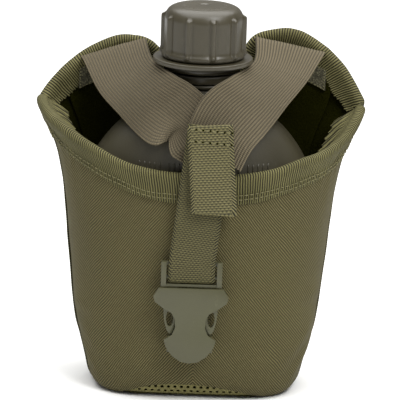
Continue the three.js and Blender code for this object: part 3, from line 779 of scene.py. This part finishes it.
BOUND = SHELL + LAYER_GAP + LINING
TAPE_INSIDE = BOUND / 2 + LAYER_GAP + 0.3  # from the middle of the bound edge to the tape's inner face
TAPE_SQUEEZE = 0.85
BACK_TAPE_WIDTH = 9.5


def squeeze(share):
    """How much closer a leg of the tape is sewn down, a share of its width below the edge."""
    return TAPE_SQUEEZE * smooth(share * 1.4)


def fold_section(s, w, width):
    """Depth below the edge and offset from the outer surface, for a point s round the folded tape."""
    half = TAPE_INSIDE + w * TAPE
    turn = (np.clip(s, 0.4, 0.6) - 0.4) / 0.2 * math.pi
    leg = np.where(s < 0.4, width * (1 - s / 0.4), np.where(s > 0.6, width * (s - 0.6) / 0.4, 0))
    depth = leg - half * np.sin(turn) * ((s >= 0.4) & (s <= 0.6))
    offset = half * np.cos(turn)
    return depth, offset - BOUND / 2 - np.sign(offset) * squeeze(leg / width)


def zigzag(along, pitch):
    """A ragged edge of small teeth."""
    return np.abs((along / pitch) % 1 * 2 - 1)


def tape_wave(along, s, seed):
    """Small waves of a sewn tape, outwards on both of its legs."""
    leg = np.abs(s - 0.5) * 2
    wave = 0.3 * wander(13, along * 0.9, leg * 6, seed) + 0.12 * np.sin(along * 1.9 + seed) * leg
    return wave * np.sign(0.5 - s) * smooth(leg * 4)


def binding(name, node, layers, uv):
    present(shell(name, *layers, uv, BINDING, "cover"), "binding", node)


def make_front_binding():
    u, s = grid(np.linspace(-0.985, 0.985, 460), np.linspace(0, 1, 61))
    along = length_along(front_point(u[:, 0], front_rim(u[:, 0]), 0))[:, None] + s * 0
    wobble = 0.45 * wander(11, along + 5, 5)
    corner = smooth((np.abs(u) - 0.56) / 0.26)
    crumple = corner * (0.8 * wander(7, along + 31, s * 9 + 31) + 0.5 * np.sin(along * 1.3))
    flare = 0.55 * corner * (s > 0.6)  # in the corners the inner leg leans in over the opening
    teeth = 2.2 * corner * zigzag(along, 2.4) * (s > 0.6)
    uneven = 0.45 * wander(15, along + 60, 60)
    layers = []
    for w in (1, 0):
        depth, offset = fold_section(s, w, TAPE_WIDTH)
        leg = np.clip(depth, 0, None)
        wave = tape_wave(along, s, 3) + crumple * smooth(depth / 6) * 0.7
        wave = wave - flare * (leg + teeth * smooth(leg / 9))
        height = front_rim(u) + uneven - depth * (1 - 0.25 * flare) + wobble * smooth(depth / 9)
        layers.append(front_point(u, height, offset + wave))
    binding("rim_binding", "front_binding", layers, points_of(along, s * 30))
    rows = []
    for depth in (8.3, 10.6):
        t = np.linspace(-0.96, 0.96, 700)
        place = front_rim(t) - depth + 0.3 * wander(8, t * 90, 0)
        lift = 2.17 - squeeze(depth / TAPE_WIDTH)
        path = front_point(t, place, lift)
        rows.append((path, path - front_point(t, place, lift - 1)))
    stitches("rim_stitches", rows, "cover", 2.8)


def make_back_binding():
    t = np.linspace(0.006, 0.994, 660)
    edge = ear_edge(t)
    ahead = unit(ear_edge(t + 1e-3) - ear_edge(t - 1e-3))
    along, s = grid(length_along(edge), np.linspace(0, 1, 61))
    from_end = np.minimum(along, along[-1:] - along)
    taper = mix(0.8, 1, smooth(from_end / 16))
    ragged = 1.2 * zigzag(along, 2.3) * smooth((s - 0.8) / 0.2) * (1 - smooth((from_end - 8) / 22))
    uneven = 0.5 * wander(13, along + 80, 80)
    layers = []
    for w in (1, 0):
        depth, offset = fold_section(s, w, BACK_TAPE_WIDTH)
        wobble = 0.6 * wander(8, along + 25, 25) * smooth(depth / 8)
        depth = depth * np.where(depth > 0, taper, 1) + uneven + ragged + wobble
        x = edge[:, :1] + ahead[:, 1:] * depth
        z = edge[:, 1:] - ahead[:, :1] * depth
        lumps = 0.6 * smooth((np.abs(x) - 62) / 16) * wander(9, along + 3, s * 9 + 3)
        u = np.clip(x / cover_half_width(z), -0.99, 0.99)
        layers.append(back_point(u, z, offset + tape_wave(along, s, 9) + lumps))
    binding("ear_binding", "back_binding", layers, points_of(along, s * 28))
    rows = []
    inner = slice(60, -60)  # leaves the tape's two ends unstitched
    for depth, facing in ((6.6, 1), (8.8, 1), (6.6, -1), (8.8, -1)):
        x = (edge[:, 0] + ahead[:, 1] * depth)[inner]
        z = (edge[:, 1] - ahead[:, 0] * depth)[inner]
        u = x / cover_half_width(z)
        lift = -BOUND / 2 + facing * (TAPE_INSIDE + TAPE - squeeze(depth / BACK_TAPE_WIDTH))
        path = back_point(u, z, lift)
        rows.append((path, (back_point(u, z, lift + 1) - path) * facing))
    stitches("ear_stitches", rows, "cover", 2.8)


def make_seam_tapes():
    for side, name in SIDES:
        z, v = grid(np.linspace(2, 136, 170), np.linspace(0, 1, 25))
        layers = []
        for w in (1, 0):
            offset = 0.3 + w * 0.55 + 0.15 * wander(12, z + side, v * 8 + side)
            front = front_point(side * (1 - (0.5 - v) * 0.14), z, offset)
            back = back_point(side * (1 - (v - 0.5) * 0.1), z, offset)
            edge = points_of(side * (cover_half_width(z) + offset), cover_seam(z), z)
            close = smooth((np.abs(v - 0.5) - 0.02) / 0.06)[..., None]
            layers.append(mix(edge, np.where(v[..., None] < 0.5, front, back), close))
        binding(f"{name}_side_tape", f"{name}_seam_tape", layers, points_of(z, v * 14))
        line = np.linspace(5, 126, 240)
        path = back_point(side * (1 - 0.38 * 0.1), line, 0.9)
        out = unit(path - points_of(0, 5, line))
        stitches(f"{name}_side_stitches", [(path, out)], "cover", 3.2)


make_front_binding()
make_back_binding()
make_seam_tapes()


# ---------------------------------------- straps


def strap(name, line, width, thickness, material, body, across=(1, 0, 0), columns=17):
    """A strap along a line of points, with rounded edges and its width along `across`."""
    rough = spline(line)(np.linspace(0, 1, 600))
    centre = even(rough, max(20, int(length_along(rough)[-1] / 1.2)))
    ahead = unit(np.gradient(centre, axis=0))
    across = np.array(across, float)
    side = unit(across - ahead * (ahead @ across)[:, None])
    out = np.cross(side, ahead)
    along, share = grid(length_along(centre), np.linspace(-0.5, 0.5, columns))
    rounded = thickness / 2 * (1 - 0.55 * np.abs(2 * share) ** 10)
    edge = 1 + 0.006 * wander(5, along, np.sign(share) * 9, 0)
    base = centre[:, None] + side[:, None] * (share * width * edge)[..., None]
    layers = [base + out[:, None] * (k * rounded)[..., None] for k in (1, -1)]
    return shell(name, *layers, points_of(share * width, along), material, body)


def web(name, node, body, *shape, **more):
    present(strap(name, *shape, STRAP_WEB, body, **more), "webbing", node)


def strap_x(z):
    return mix(BUCKLE_X, 5.6, np.clip((z - 76) / 72, 0, 1))


def make_drop_strap():
    front = [(148, -42.8), (132, -43.2), (119, -43.4), (105, -43.8), (88, -44.7), (78, -45.5), (70, -45.6)]
    turn = [(66.4, -45.1), (65.7, -43.75), (66.4, -42.4)]
    rear = [(70, -41.9), (80, -41.8), (97, -41.8)]
    line = [(strap_x(z), y, z) for z, y in front + turn + rear]
    web("drop_strap_web", "drop_strap", "closure_strap", line, 24, 1.2)


TAB_LEAN = -0.07  # how far the tab's stitched end drops for each millimetre across
TAB_PITCH = 3.67
TAB_HOLE_SHIFT = 1.83
TAB_TOP = 149


def make_pull_tab():
    rear = [(TAB_TOP, -44.4), (136, -44.9), (122, -45.3), (106, -46)]
    turn = [(103.6, -46.5), (103, -47.4), (103.8, -48.3)]
    front = [(106, -48.6), (122, -47.6), (136, -46.9), (TAB_TOP, -46.1)]
    line = [(mix(8.3, 4.8, np.clip((z - 103) / 46, 0, 1)), y, z) for z, y in rear + turn + front]
    o = strap("pull_tab_web", line, 23.4, 1.2, TAB_WEB, "tab", (1, 0, TAB_LEAN))
    present(o, "webbing", "pull_tab")
    rows, holes = [], []
    x = np.linspace(-11, 11, 60)
    for height in (146.6, 140.4):
        path = points_of(x + 5.1, -46.82 - (TAB_TOP - height) * 0.055, height + TAB_LEAN * x)
        rows.append((path, (0, -1, 0.06)))
        holes.append((path + (TAB_HOLE_SHIFT, 0, 0), (0, -1, 0.06)))
    stitches("tab_stitches", rows, "tab", TAB_PITCH, 0.62, 0.42)
    # Short, fat blobs in the dark pile colour between the stitches are painted shade where the thread dives
    # into its holes.
    stitches("tab_stitch_hole_shade", holes, "tab", TAB_PITCH, 0.3, 0.5, PILE)


ELASTIC_RIBS = 23
RIB_PITCH = 1.58


def ribbon(outer, inner, columns, fold=None):
    """An elastic between two edges, as its two faces and its UVs. Its ribs run along it."""
    outer, inner = (even(spline(e)(np.linspace(0, 1, 400)), columns)[:, None] for e in (outer, inner))
    count = ELASTIC_RIBS * 6 + 1
    v = np.linspace(0, 1, count)
    base = outer * (1 - v[:, None]) + inner * v[:, None]
    if fold:
        base = base + fold(base, v)
    out = unit(np.cross(np.gradient(base, axis=0), np.gradient(base, axis=1)))
    out *= np.where(out[..., 1:2] > 0, -1, 1)
    rib = np.abs(np.sin(np.linspace(0, ELASTIC_RIBS * math.pi, count))) ** 0.7
    crown = 0.5 * np.sin(np.linspace(0, math.pi, count)) ** 0.5
    soft = 0.35 * wander(22, *np.moveaxis(base, -1, 0))
    face = base + out * (1.15 + 0.35 * rib + 0.2 * crown + soft)[..., None]
    rear = base + out * (0.45 - 0.2 * rib + soft)[..., None]
    distance, across = grid(length_along(base[:, count // 2]), v * ELASTIC_RIBS * RIB_PITCH)
    return face, rear, points_of(across, distance)


ROOT_END = 9  # the y where an elastic's sewn end becomes its free part


def make_elastic(side, outer, inner, columns, fold=None):
    """An elastic in two pieces: its sewn end, curving away from the cover, and the rest."""
    face, rear, uv = ribbon(outer, inner, columns, fold)
    split = int(np.argmax(face[..., 1].max(axis=1) < ROOT_END))
    band, sewn = (
        present(shell(f"{side}_elastic_{name}", face[part], rear[part], uv[part], ELASTIC, None), "elastic")
        for name, part in (("band", slice(split, None)), ("root", slice(0, split + 1)))
    )
    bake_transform(band)
    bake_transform(sewn)
    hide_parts(f"{side}_elastic")


# The left elastic's lower edge where its slack bunches up beside the tab: an S with a hanging loop.
LEFT_SLACK = [
    (-42.2, -9, 145), (-34, -20, 139.1), (-26.9, -31, 135.6), (-21.9, -35.6, 135.4), (-19, -34, 137.4),
    (-17.5, -30, 140.6), (-16.5, -29, 141.6), (-16, -31, 138.4), (-15.8, -34.5, 134), (-14.6, -37, 130.8),
    (-11.8, -37, 129), (-8.1, -36, 127), (-4, -35.2, 125),
]


def left_fold(base, v):
    """Moves the lower edge onto the slack's S; the move fades out towards the upper edge."""
    edge = base[:, 0]
    first = int(np.argmin(np.linalg.norm(edge - LEFT_SLACK[0], axis=1)))
    slack = even(spline(LEFT_SLACK)(np.linspace(0, 1, 500)), len(edge) - first)
    move = np.zeros_like(edge)
    move[first:] = slack - edge[first:]
    return move[:, None] * (np.clip(1 - v / 0.5, 0, 1) ** 1.4)[:, None]


def make_elastics():
    make_elastic(
        "left",
        [(-64.8, 31.4, 166.4), (-62.4, 25.6, 165), (-53.5, 8, 153), (-42.2, -9, 145), (-33, -21, 139.4),
         (-24, -30.5, 135), (-4, -35.2, 128)],
        [(-30, 31.4, 177), (-29.8, 26, 177.3), (-25.4, 8, 170.9), (-15, -19, 170), (-5, -26, 166),
         (4, -28.5, 158), (15, -34.6, 143)],
        260, left_fold,
    )
    make_elastic(
        "right",
        [(64.2, 31.4, 171.7), (62.9, 25.6, 171.3), (54.5, 9, 161.2), (43, -8, 150.5), (33, -27, 141),
         (26, -36.4, 134), (21, -39.5, 124)],
        [(26.4, 31.4, 179.4), (27.3, 26, 179.8), (26, 8, 171), (14, -22.5, 169.8), (5, -32, 166),
         (-2, -36, 158), (-8, -39.8, 143)],
        200,
    )


def make_patches():
    face = -SHELL - 2 * LAYER_GAP - LINING
    for side, name in SIDES:
        x, z = grid(np.linspace(42, 66, 40) * side, np.linspace(160, 171, 26))
        z = z - (3 if side < 0 else 0) - 0.45 * np.clip(np.abs(x) - 50, 0, None)
        u = x / cover_half_width(z)
        lumpy = face - 0.9 + 0.15 * wander(4, x, z)
        present(layer(f"{name}_patch", back_point, u, z, (face, lumpy), PATCH), "patch", f"{name}_ear_patch")
        inner = back_point(u, z, lumpy)
        rim = np.concatenate([inner[1:-1, 1], inner[-2, 1:-1], inner[-2:0:-1, -2], inner[1, -2:0:-1]])
        stitches(f"{name}_patch_stitches", [(rim, (0, -1, 0))], "cover", 1.7, 0.7, 0.3)


def make_carriers():
    shape = [(146.5, 39.1), (143.5, 41.2), (137, 44.3), (120, 45), (108, 45), (95, 45), (82, 45), (70, 45),
             (54, 44.2), (47, 41.6), (40, 40.6), (26, 40.2)]
    for side, name in SIDES:
        body = f"{name}_carrier"
        line = [(side * CARRIER_X, y, z) for z, y in shape]
        web(f"{name}_carrying_web", f"{name}_carrying_strap", body, line, 25, 1.6)
        x = np.linspace(-10.5, 10.5, 50) + side * CARRIER_X
        rows = [(points_of(x, y, z), (0, 1, 0)) for y, z in ((43.6, 49.5), (41.3, 29))]
        stitches(f"{name}_carrier_stitches", rows, body, 2.8)
        make_snap(side, name)
    for name, middle in (("upper", 122), ("lower", 76)):
        make_back_row(name, middle)


def make_snap(side, name):
    dome = [(0, 2.4), (2.2, 2.35), (4.0, 2.0), (5.4, 1.35), (6.1, 0.7), (6.35, 0.3), (6.2, 0), (0, 0)]
    stud = [(0, 2.2), (2.4, 2.2), (2.9, 1.9), (2.8, 1.4), (2.5, 1.1), (4.6, 1), (5, 0.8), (5, 0), (0, 0)]
    for part, profile, depth, body in (
        (f"{name}_snap_cap", dome, 41.6, f"{name}_carrier"),
        (f"{name}_snap_stud", stud, 36.9, "cover"),
    ):
        rings = lathe(profile, 48)[..., [0, 2, 1]] + (side * CARRIER_X, depth, SNAP_Z)
        present(turned_object(f"{part}_metal", rings, BRASS, body), "metal", part)


def make_back_row(name, middle):
    """A sewn row of webbing across the back, with a tack at each loop's end."""
    x, v = grid(np.linspace(-58, 58, 150), np.linspace(-0.5, 0.5, 25))
    z = middle + v * 25
    u = x / cover_half_width(z)
    belly = 0.35 * np.abs(np.sin(x / 38 * math.pi)) * smooth((0.5 - np.abs(v)) * 8)
    faces = (LAYER_GAP + 1.2 + belly, LAYER_GAP + belly * 0.5)
    o = layer(f"{name}_back_web", back_point, u, z, faces, STRAP_WEB, points_of(v * 25, x))
    present(o, "webbing", f"{name}_back_webbing")
    line = np.linspace(middle - 11.5, middle + 11.5, 40)
    lift = LAYER_GAP + 1.35
    rows = [(back_point(x / cover_half_width(line), line, lift), (0, 1, 0)) for x in (-56.5, -19, 0, 19, 56.5)]
    stitches(f"{name}_back_stitches", rows, "cover", 1.5, 0.8, 0.4)


make_drop_strap()
make_pull_tab()
make_elastics()
make_patches()
make_carriers()


# ---------------------------------------- mesh base

NET_STEP = 3.4
NET_HOLE = 0.78
NET_WIDTH = 92


def net(name, place, height):
    """A knitted sheet with round holes, one to a hexagon. place maps (x, y) on the flat sheet to a point."""
    reach = NET_STEP / math.sqrt(3)
    turns = np.arange(12) * math.pi / 6
    edge = np.where(np.arange(12) % 2 == 0, reach, NET_STEP / 2)
    points, faces, seen = [], [], {}

    def ring(x, y, radius):
        """The numbers of the points round a circle or hexagon; a point shared by two of them is made once."""
        numbers = []
        for at in zip(x + radius * np.sin(turns), y + radius * np.cos(turns)):
            key = tuple(round(float(a), 2) for a in at)
            if key not in seen:
                seen[key] = len(points)
                points.append(place(*at))
            numbers.append(seen[key])
        return numbers

    for row in range(int(height / (reach * 1.5)) + 1):
        for col in range(int(NET_WIDTH / NET_STEP) + 1):
            x = -NET_WIDTH / 2 + (col + 0.5 * (row % 2)) * NET_STEP
            y = row * reach * 1.5
            outer, inner = ring(x, y, edge), ring(x, y, NET_HOLE)
            faces += [(outer[k - 1], outer[k], inner[k], inner[k - 1]) for k in range(12)]
    o = make(name, points, faces, NET, "cover")
    thicken = o.modifiers.new("sheet", "SOLIDIFY")
    thicken.thickness = 0.6 * MM
    thicken.offset = 0
    rounder = o.modifiers.new("round", "SUBSURF")
    rounder.levels = rounder.render_levels = 1
    return o


def lip_point(x, y):
    height = max(0.9, float(y))
    at = np.clip(x - 4, -50, 42)
    return front_point(front_share(at, height), height, -SHELL - 0.5)


# The base at 1 mm above the floor: half its width, and its front and back.
BASE_HALF = float(cover_half_width(1)) - 4
BASE_NEAR = front_raw(0.0, 1.0)[1] + 4
BASE_FAR = back_raw(0.0, 1.0)[1] - 4


def floor_point(x, y):
    t = np.clip((y - 32) / 32, -1, 1)
    half = BASE_HALF * (1 - abs(t) ** 3 * 0.35)
    return np.array([np.clip(x, -half, half), mix(BASE_NEAR, BASE_FAR, (t + 1) / 2), 0.5])


def make_net_base():
    present(net("net_lip", lip_point, 13), "mesh", "mesh_base")
    present(net("net_floor", floor_point, 64), "mesh")
    # Sheets in the dark pile colour behind the floor net and the lip net are painted shade, so that the holes
    # look dark.
    u, v = grid(np.linspace(-0.9, 0.9, 90), np.linspace(0, 1, 30))
    round_off = 1 - np.abs(u) ** 4 * 0.5
    y = mix(BASE_NEAR * round_off, BASE_FAR * round_off, v)
    under = [points_of(u * BASE_HALF, y, z) for z in (1.7, 1.3)]
    x, z = grid(np.linspace(-52, 40, 90), np.linspace(1.2, 17, 14))
    present(shell("net_shade_sheet", *under, distances(under[0]), PILE, "cover"), "lining")
    depths = (-SHELL - 1.9, -SHELL - 2.4)
    present(layer("net_lip_shade_sheet", front_point, front_share(x, z), z, depths, PILE), "lining")


make_net_base()


# ---------------------------------------- buckle


def bevelled(name, node, body, width):
    """A copy of one of the buckle's CAD pieces with rounded edges, in its place."""
    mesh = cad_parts[node].data.copy()
    mesh.name = name
    mesh.materials.clear()
    mesh.materials.append(BUCKLE)
    b = bmesh.new()
    b.from_mesh(mesh)
    bmesh.ops.remove_doubles(b, verts=b.verts, dist=1e-6)
    bmesh.ops.dissolve_limit(b, angle_limit=math.radians(2), verts=b.verts, edges=b.edges)
    b.to_mesh(mesh)
    b.free()
    mesh.polygons.foreach_set("use_smooth", [True] * len(mesh.polygons))
    o = add(name, mesh, body)
    edge = o.modifiers.new("bevel", "BEVEL")
    edge.width = width * MM
    edge.segments = 3
    edge.limit_method = "ANGLE"
    edge.angle_limit = math.radians(25)
    edge.use_clamp_overlap = True
    edge.harden_normals = True
    present(o, "buckle", node)


def make_buckle():
    bevelled("buckle_female", "buckle_housing", "cover", 0.45)
    bevelled("buckle_ladder", "buckle_frame", "closure_strap", 0.35)
    for _, side in SIDES:
        bevelled(f"{side}_prong_arm", f"{side}_prong", f"{side}_prong", 0.3)
    path = [(60, -40.4), (50, -40.4), (38, -40.3), (32, -40.6), (28.4, -41.6), (27.6, -42.9), (28.4, -44.2),
            (31, -44.9), (33.6, -44.9)]
    line = [(BUCKLE_X, y, z) for z, y in path]
    web("anchor_web", "buckle_anchor_loop", "cover", line, 20, 0.8, columns=14)


make_buckle()


# ---------------------------------------- bottle, cap and tether


def bottle_point(turn, z, share):
    """A point on the bottle's skin, or a share of the way out to it from the middle."""
    shape = np.clip((NECK_FOOT - z) / 14, 0, 1)
    exponent = mix(1, 2 / BOTTLE_POWER, shape)
    half_width = np.where(z > NECK_FOOT, NECK_RADIUS, bottle_half_width(z))
    half_depth = np.where(z > NECK_FOOT, NECK_RADIUS, bottle_half_depth(z))
    side = power(np.cos(turn), exponent)
    y = half_depth * power(np.sin(turn), exponent)
    hollow = (y > 0) & (np.abs(side) < 0.65)
    dip = np.where(hollow, BOTTLE_HOLLOW * np.cos(math.pi * side / 1.3) ** 2, 0)
    bend = shape * (BOTTLE_BEND * side * side - dip * np.minimum(1, 2 * y / half_depth))
    return points_of(share * side * half_width, share * (y + bend), z)


def make_bottle():
    base = [(0, 2), (0.4, 2), (0.8, 2), (0.93, 2.15), (0.985, 2.7)]
    heights = [*np.linspace(3.4, 24, 14), *np.linspace(28, 107.3, 26), *np.linspace(109.3, NECK_FOOT, 40)]
    turn = np.linspace(0, 2 * math.pi, 220, endpoint=False)
    rows = np.array(base + [(1, z) for z in heights])
    share, z = rows.T[..., None] + turn * 0
    points = bottle_point(turn, z, share)
    mould_line = bump(np.sin(turn + 0.02), 0.022) * 0.45 * smooth((z - 4) / 6) * smooth((149.3 - z) / 8)
    out = unit(points * (1, 1, 0))
    points = points + out * (mould_line * (share > 0.99))[..., None]
    present(turned_object("bottle_shell", points, BOTTLE, "bottle"), "bottle", "bottle_body")
    neck = [
        (16.6, 152.3), (17.0, 154.3), (17.2, 155.9), (17.4, 157.3), (17.9, 157.8), (18.8, 158.1), (19, 158.5),
        (19, 159.5), (18.8, 159.9), (17.9, 160.2), (17.5, 160.5), (17.5, 161.5), (17.9, 161.8), (18.8, 162.1),
        (19, 162.5), (19, 163.3), (18.8, 163.8), (15.6, 164), (NECK_RADIUS, 164.4), (NECK_RADIUS, 195.6),
        (14.9, 196.1), (14.5, NECK_TOP), (13.2, NECK_TOP), (12.8, 196.1), (NECK_BORE, 195.6),
        (NECK_BORE, 157.3), (14, 153.3), (15, 152.3),
    ]
    present(turned_object("bottle_neck", lathe(neck, 120), BOTTLE, "bottle"), "bottle")
    present(helix("bottle_thread", 14.9, 16.6, THREAD_START, 1.75, BOTTLE, "bottle"), "bottle")
    make_relief_bars()


def helix(name, root, crest, start, turns, material, body):
    """A screw thread whose section is a rounded tooth and which fades out at both ends."""
    share = np.linspace(0, 1, int(turns * 60))[:, None]
    angle = share * turns * 2 * math.pi
    section = [(0, -0.5), (0.55, -0.42), (0.92, -0.3), (1, 0), (0.92, 0.3), (0.55, 0.42), (0, 0.5)]
    w, h = np.array(section).T
    fade = np.clip(np.minimum(share, 1 - share) * turns * 8, 0.05, 1)
    radius = root + (crest - root) * w * fade
    z = start + THREAD_PITCH * angle / (2 * math.pi) + h * mix(1.9, 0.9, w) * fade
    points = points_of(radius * np.cos(angle), radius * np.sin(angle), z)
    return turned_object(name, points, material, body)


def make_relief_bars():
    """Two rows of plain raised bars on the shoulder, in groups."""
    rng = np.random.default_rng(3)
    pieces = []
    reach = 31
    for height in (123, 114):
        x = -reach
        while x < reach:
            for _ in range(int(rng.integers(3, 6))):
                pieces.append(raised_bar(x, height, 0.8))
                x += 2.6
            x += 2.4
    join(pieces, "relief_bars")


def raised_bar(x, z, width):
    a, b = grid(np.linspace(-0.5, 0.5, 9), np.linspace(-0.5, 0.5, 7))
    px, pz = x + a * width, z + b * 4.6
    side = np.clip(px / bottle_half_width(pz), -1, 1)
    oval = (1 - np.abs(side) ** BOTTLE_POWER) ** (1 / BOTTLE_POWER)
    y = BOTTLE_BEND * side * side - bottle_half_depth(pz) * oval
    crown = 0.45 * (1 - np.abs(2 * a) ** 4) * (1 - np.abs(2 * b) ** 8)
    top, bottom = points_of(px, y - crown - 0.02, pz), points_of(px, y + 0.5, pz)
    return shell("bar", top, bottom, points_of(px, pz), BOTTLE, "bottle")


CAP_WALL = 20.6
CAP_SHOULDER = 198.9


def cap_growth(turn, z):
    """How far the cap's side stands out at its ten rounded ribs, and in beside them."""
    step = 2 * math.pi / CAP_RIBS
    away = np.abs((turn + math.radians(112) + step / 2) % step - step / 2) * CAP_WALL
    rib = np.clip(1 - (away / 1.45) ** 2.4, 0, 1) ** 0.62
    height = smooth((z - CAP_SKIRT - 1.2) / 1.4) * smooth((CAP_SHOULDER - z) / 1.3)
    return (1.8 * rib - 0.22 * bump(away - 2, 0.5)) * height


def make_cap():
    side = [
        (17.4, 169.7), (20.1, 169.7), (20.4, 170), (20.4, 172.4), (20.1, 172.7), (19.3, 172.9), (19.1, 173.2),
        (19.1, 175.8), (19.3, 176.05), (21.1, CAP_SKIRT), (21.5, 176.4), (21.7, 176.9), (21.65, 178.1),
        (21.4, 178.9), (20.95, 179.4), (20.8, 179.9), *((CAP_WALL, z) for z in np.linspace(180.7, 195.9, 30)),
        (20.57, 196.5), (20.48, 197.1), (20.34, 197.7), (20.16, 198.3), (19.92, CAP_SHOULDER),
    ]
    dome = [
        (19.62, 199.5), (19.25, 200.1), (18.75, 200.7), (18.1, 201.3), (17.3, 201.8), (16.3, 202.25),
        (15.2, 202.6), (14.2, 202.8), (13.8, 202.72), (13.4, 202.72), (13.0, 202.85), (12.2, 202.98),
        (9, 203.14), (5, CAP_TOP), (2.2, CAP_TOP), (2.0, 203), (1.4, 202.9), (0, 202.9),
    ]
    under = [(0, 198.5), (17.2, 198.5), (17.35, 198.3), (17.35, 169.9)]
    rings = lathe(side + dome + under, 260)
    wall = rings[: len(side)]
    grow = cap_growth(np.arctan2(wall[..., 1], wall[..., 0]), wall[..., 2])
    wall[..., :2] *= (1 + grow / np.hypot(wall[..., 0], wall[..., 1]))[..., None]
    present(turned_object("cap_shell", rings, CAP, "cap"), "cap", "cap")
    screw_start = THREAD_START + THREAD_PITCH / 2
    present(helix("cap_thread", 17.6, 15.9, screw_start, 1.25, CAP, "cap"), "cap")
    make_cap_marks()
    seal = [(9, 196.6), (16.1, 196.6), (16.4, 196.9), (16.4, 197.9), (16.1, 198.2), (9, 198.2), (9, 196.6)]
    present(turned_object("cap_seal", lathe(seal, 72), SEAL, "cap"), "seal", "cap_gasket")


def make_cap_marks():
    """Moulded ticks round the cap's top, evenly spaced."""
    ticks = []
    u, v = grid(np.linspace(-1, 1, 7), np.linspace(-1, 1, 5))
    height = CAP_TOP - 0.2 + 0.28 * (1 - u**6) * (1 - v**2)
    for k in range(24):
        c, s = math.cos(k * math.pi / 12), math.sin(k * math.pi / 12)
        along = 11.2 + u * (0.95 if k % 6 == 0 else 0.55)
        x, y = c * along - s * v * 0.3, s * along + c * v * 0.3
        top, bottom = (points_of(x, y, z) for z in (height, CAP_TOP - 0.6))
        ticks.append(shell("tick", top, bottom, points_of(u, v), CAP, "cap"))
    join(ticks, "cap_ticks")


def make_tether():
    wide = [(19.5, 173.2), (25.4, 173.2), (25.8, 173.28), (26, 173.5), (26, 175.3), (25.8, 175.6),
            (25.3, 175.7), (24.4, 175.6), (22.6, 175.45), (20, 175.5), (19.5, 175.4), (19.5, 173.2)]
    small = [(15.7, 164.5), (19.1, 164.5), (19.5, 164.8), (19.6, 165.3), (19.6, 167.9), (19.5, 168.4),
             (19.1, 168.7), (15.7, 168.7), (15.7, 164.5)]
    present(turned_object("cap_ring", lathe(wide, 140), CAP, "cap_ring"), "cap", "tether_cap_ring")
    present(turned_object("neck_ring", lathe(small, 120), CAP, "bottle"), "cap", "tether_neck_ring")
    path = [(19.4, 166.6), (22.5, 165.7), (27, 163.9), (35, 163.3), (40, 166.7), (39.6, 171.9), (34, 174.9),
            (28, 174.7), (25.6, 174.5)]
    o = strap("tether_band", [(0, y, z) for y, z in path], 8, 1.6, CAP, None, columns=11)
    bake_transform(o)
    present(o, "cap", "tether_strap")


make_bottle()
make_cap()
make_tether()
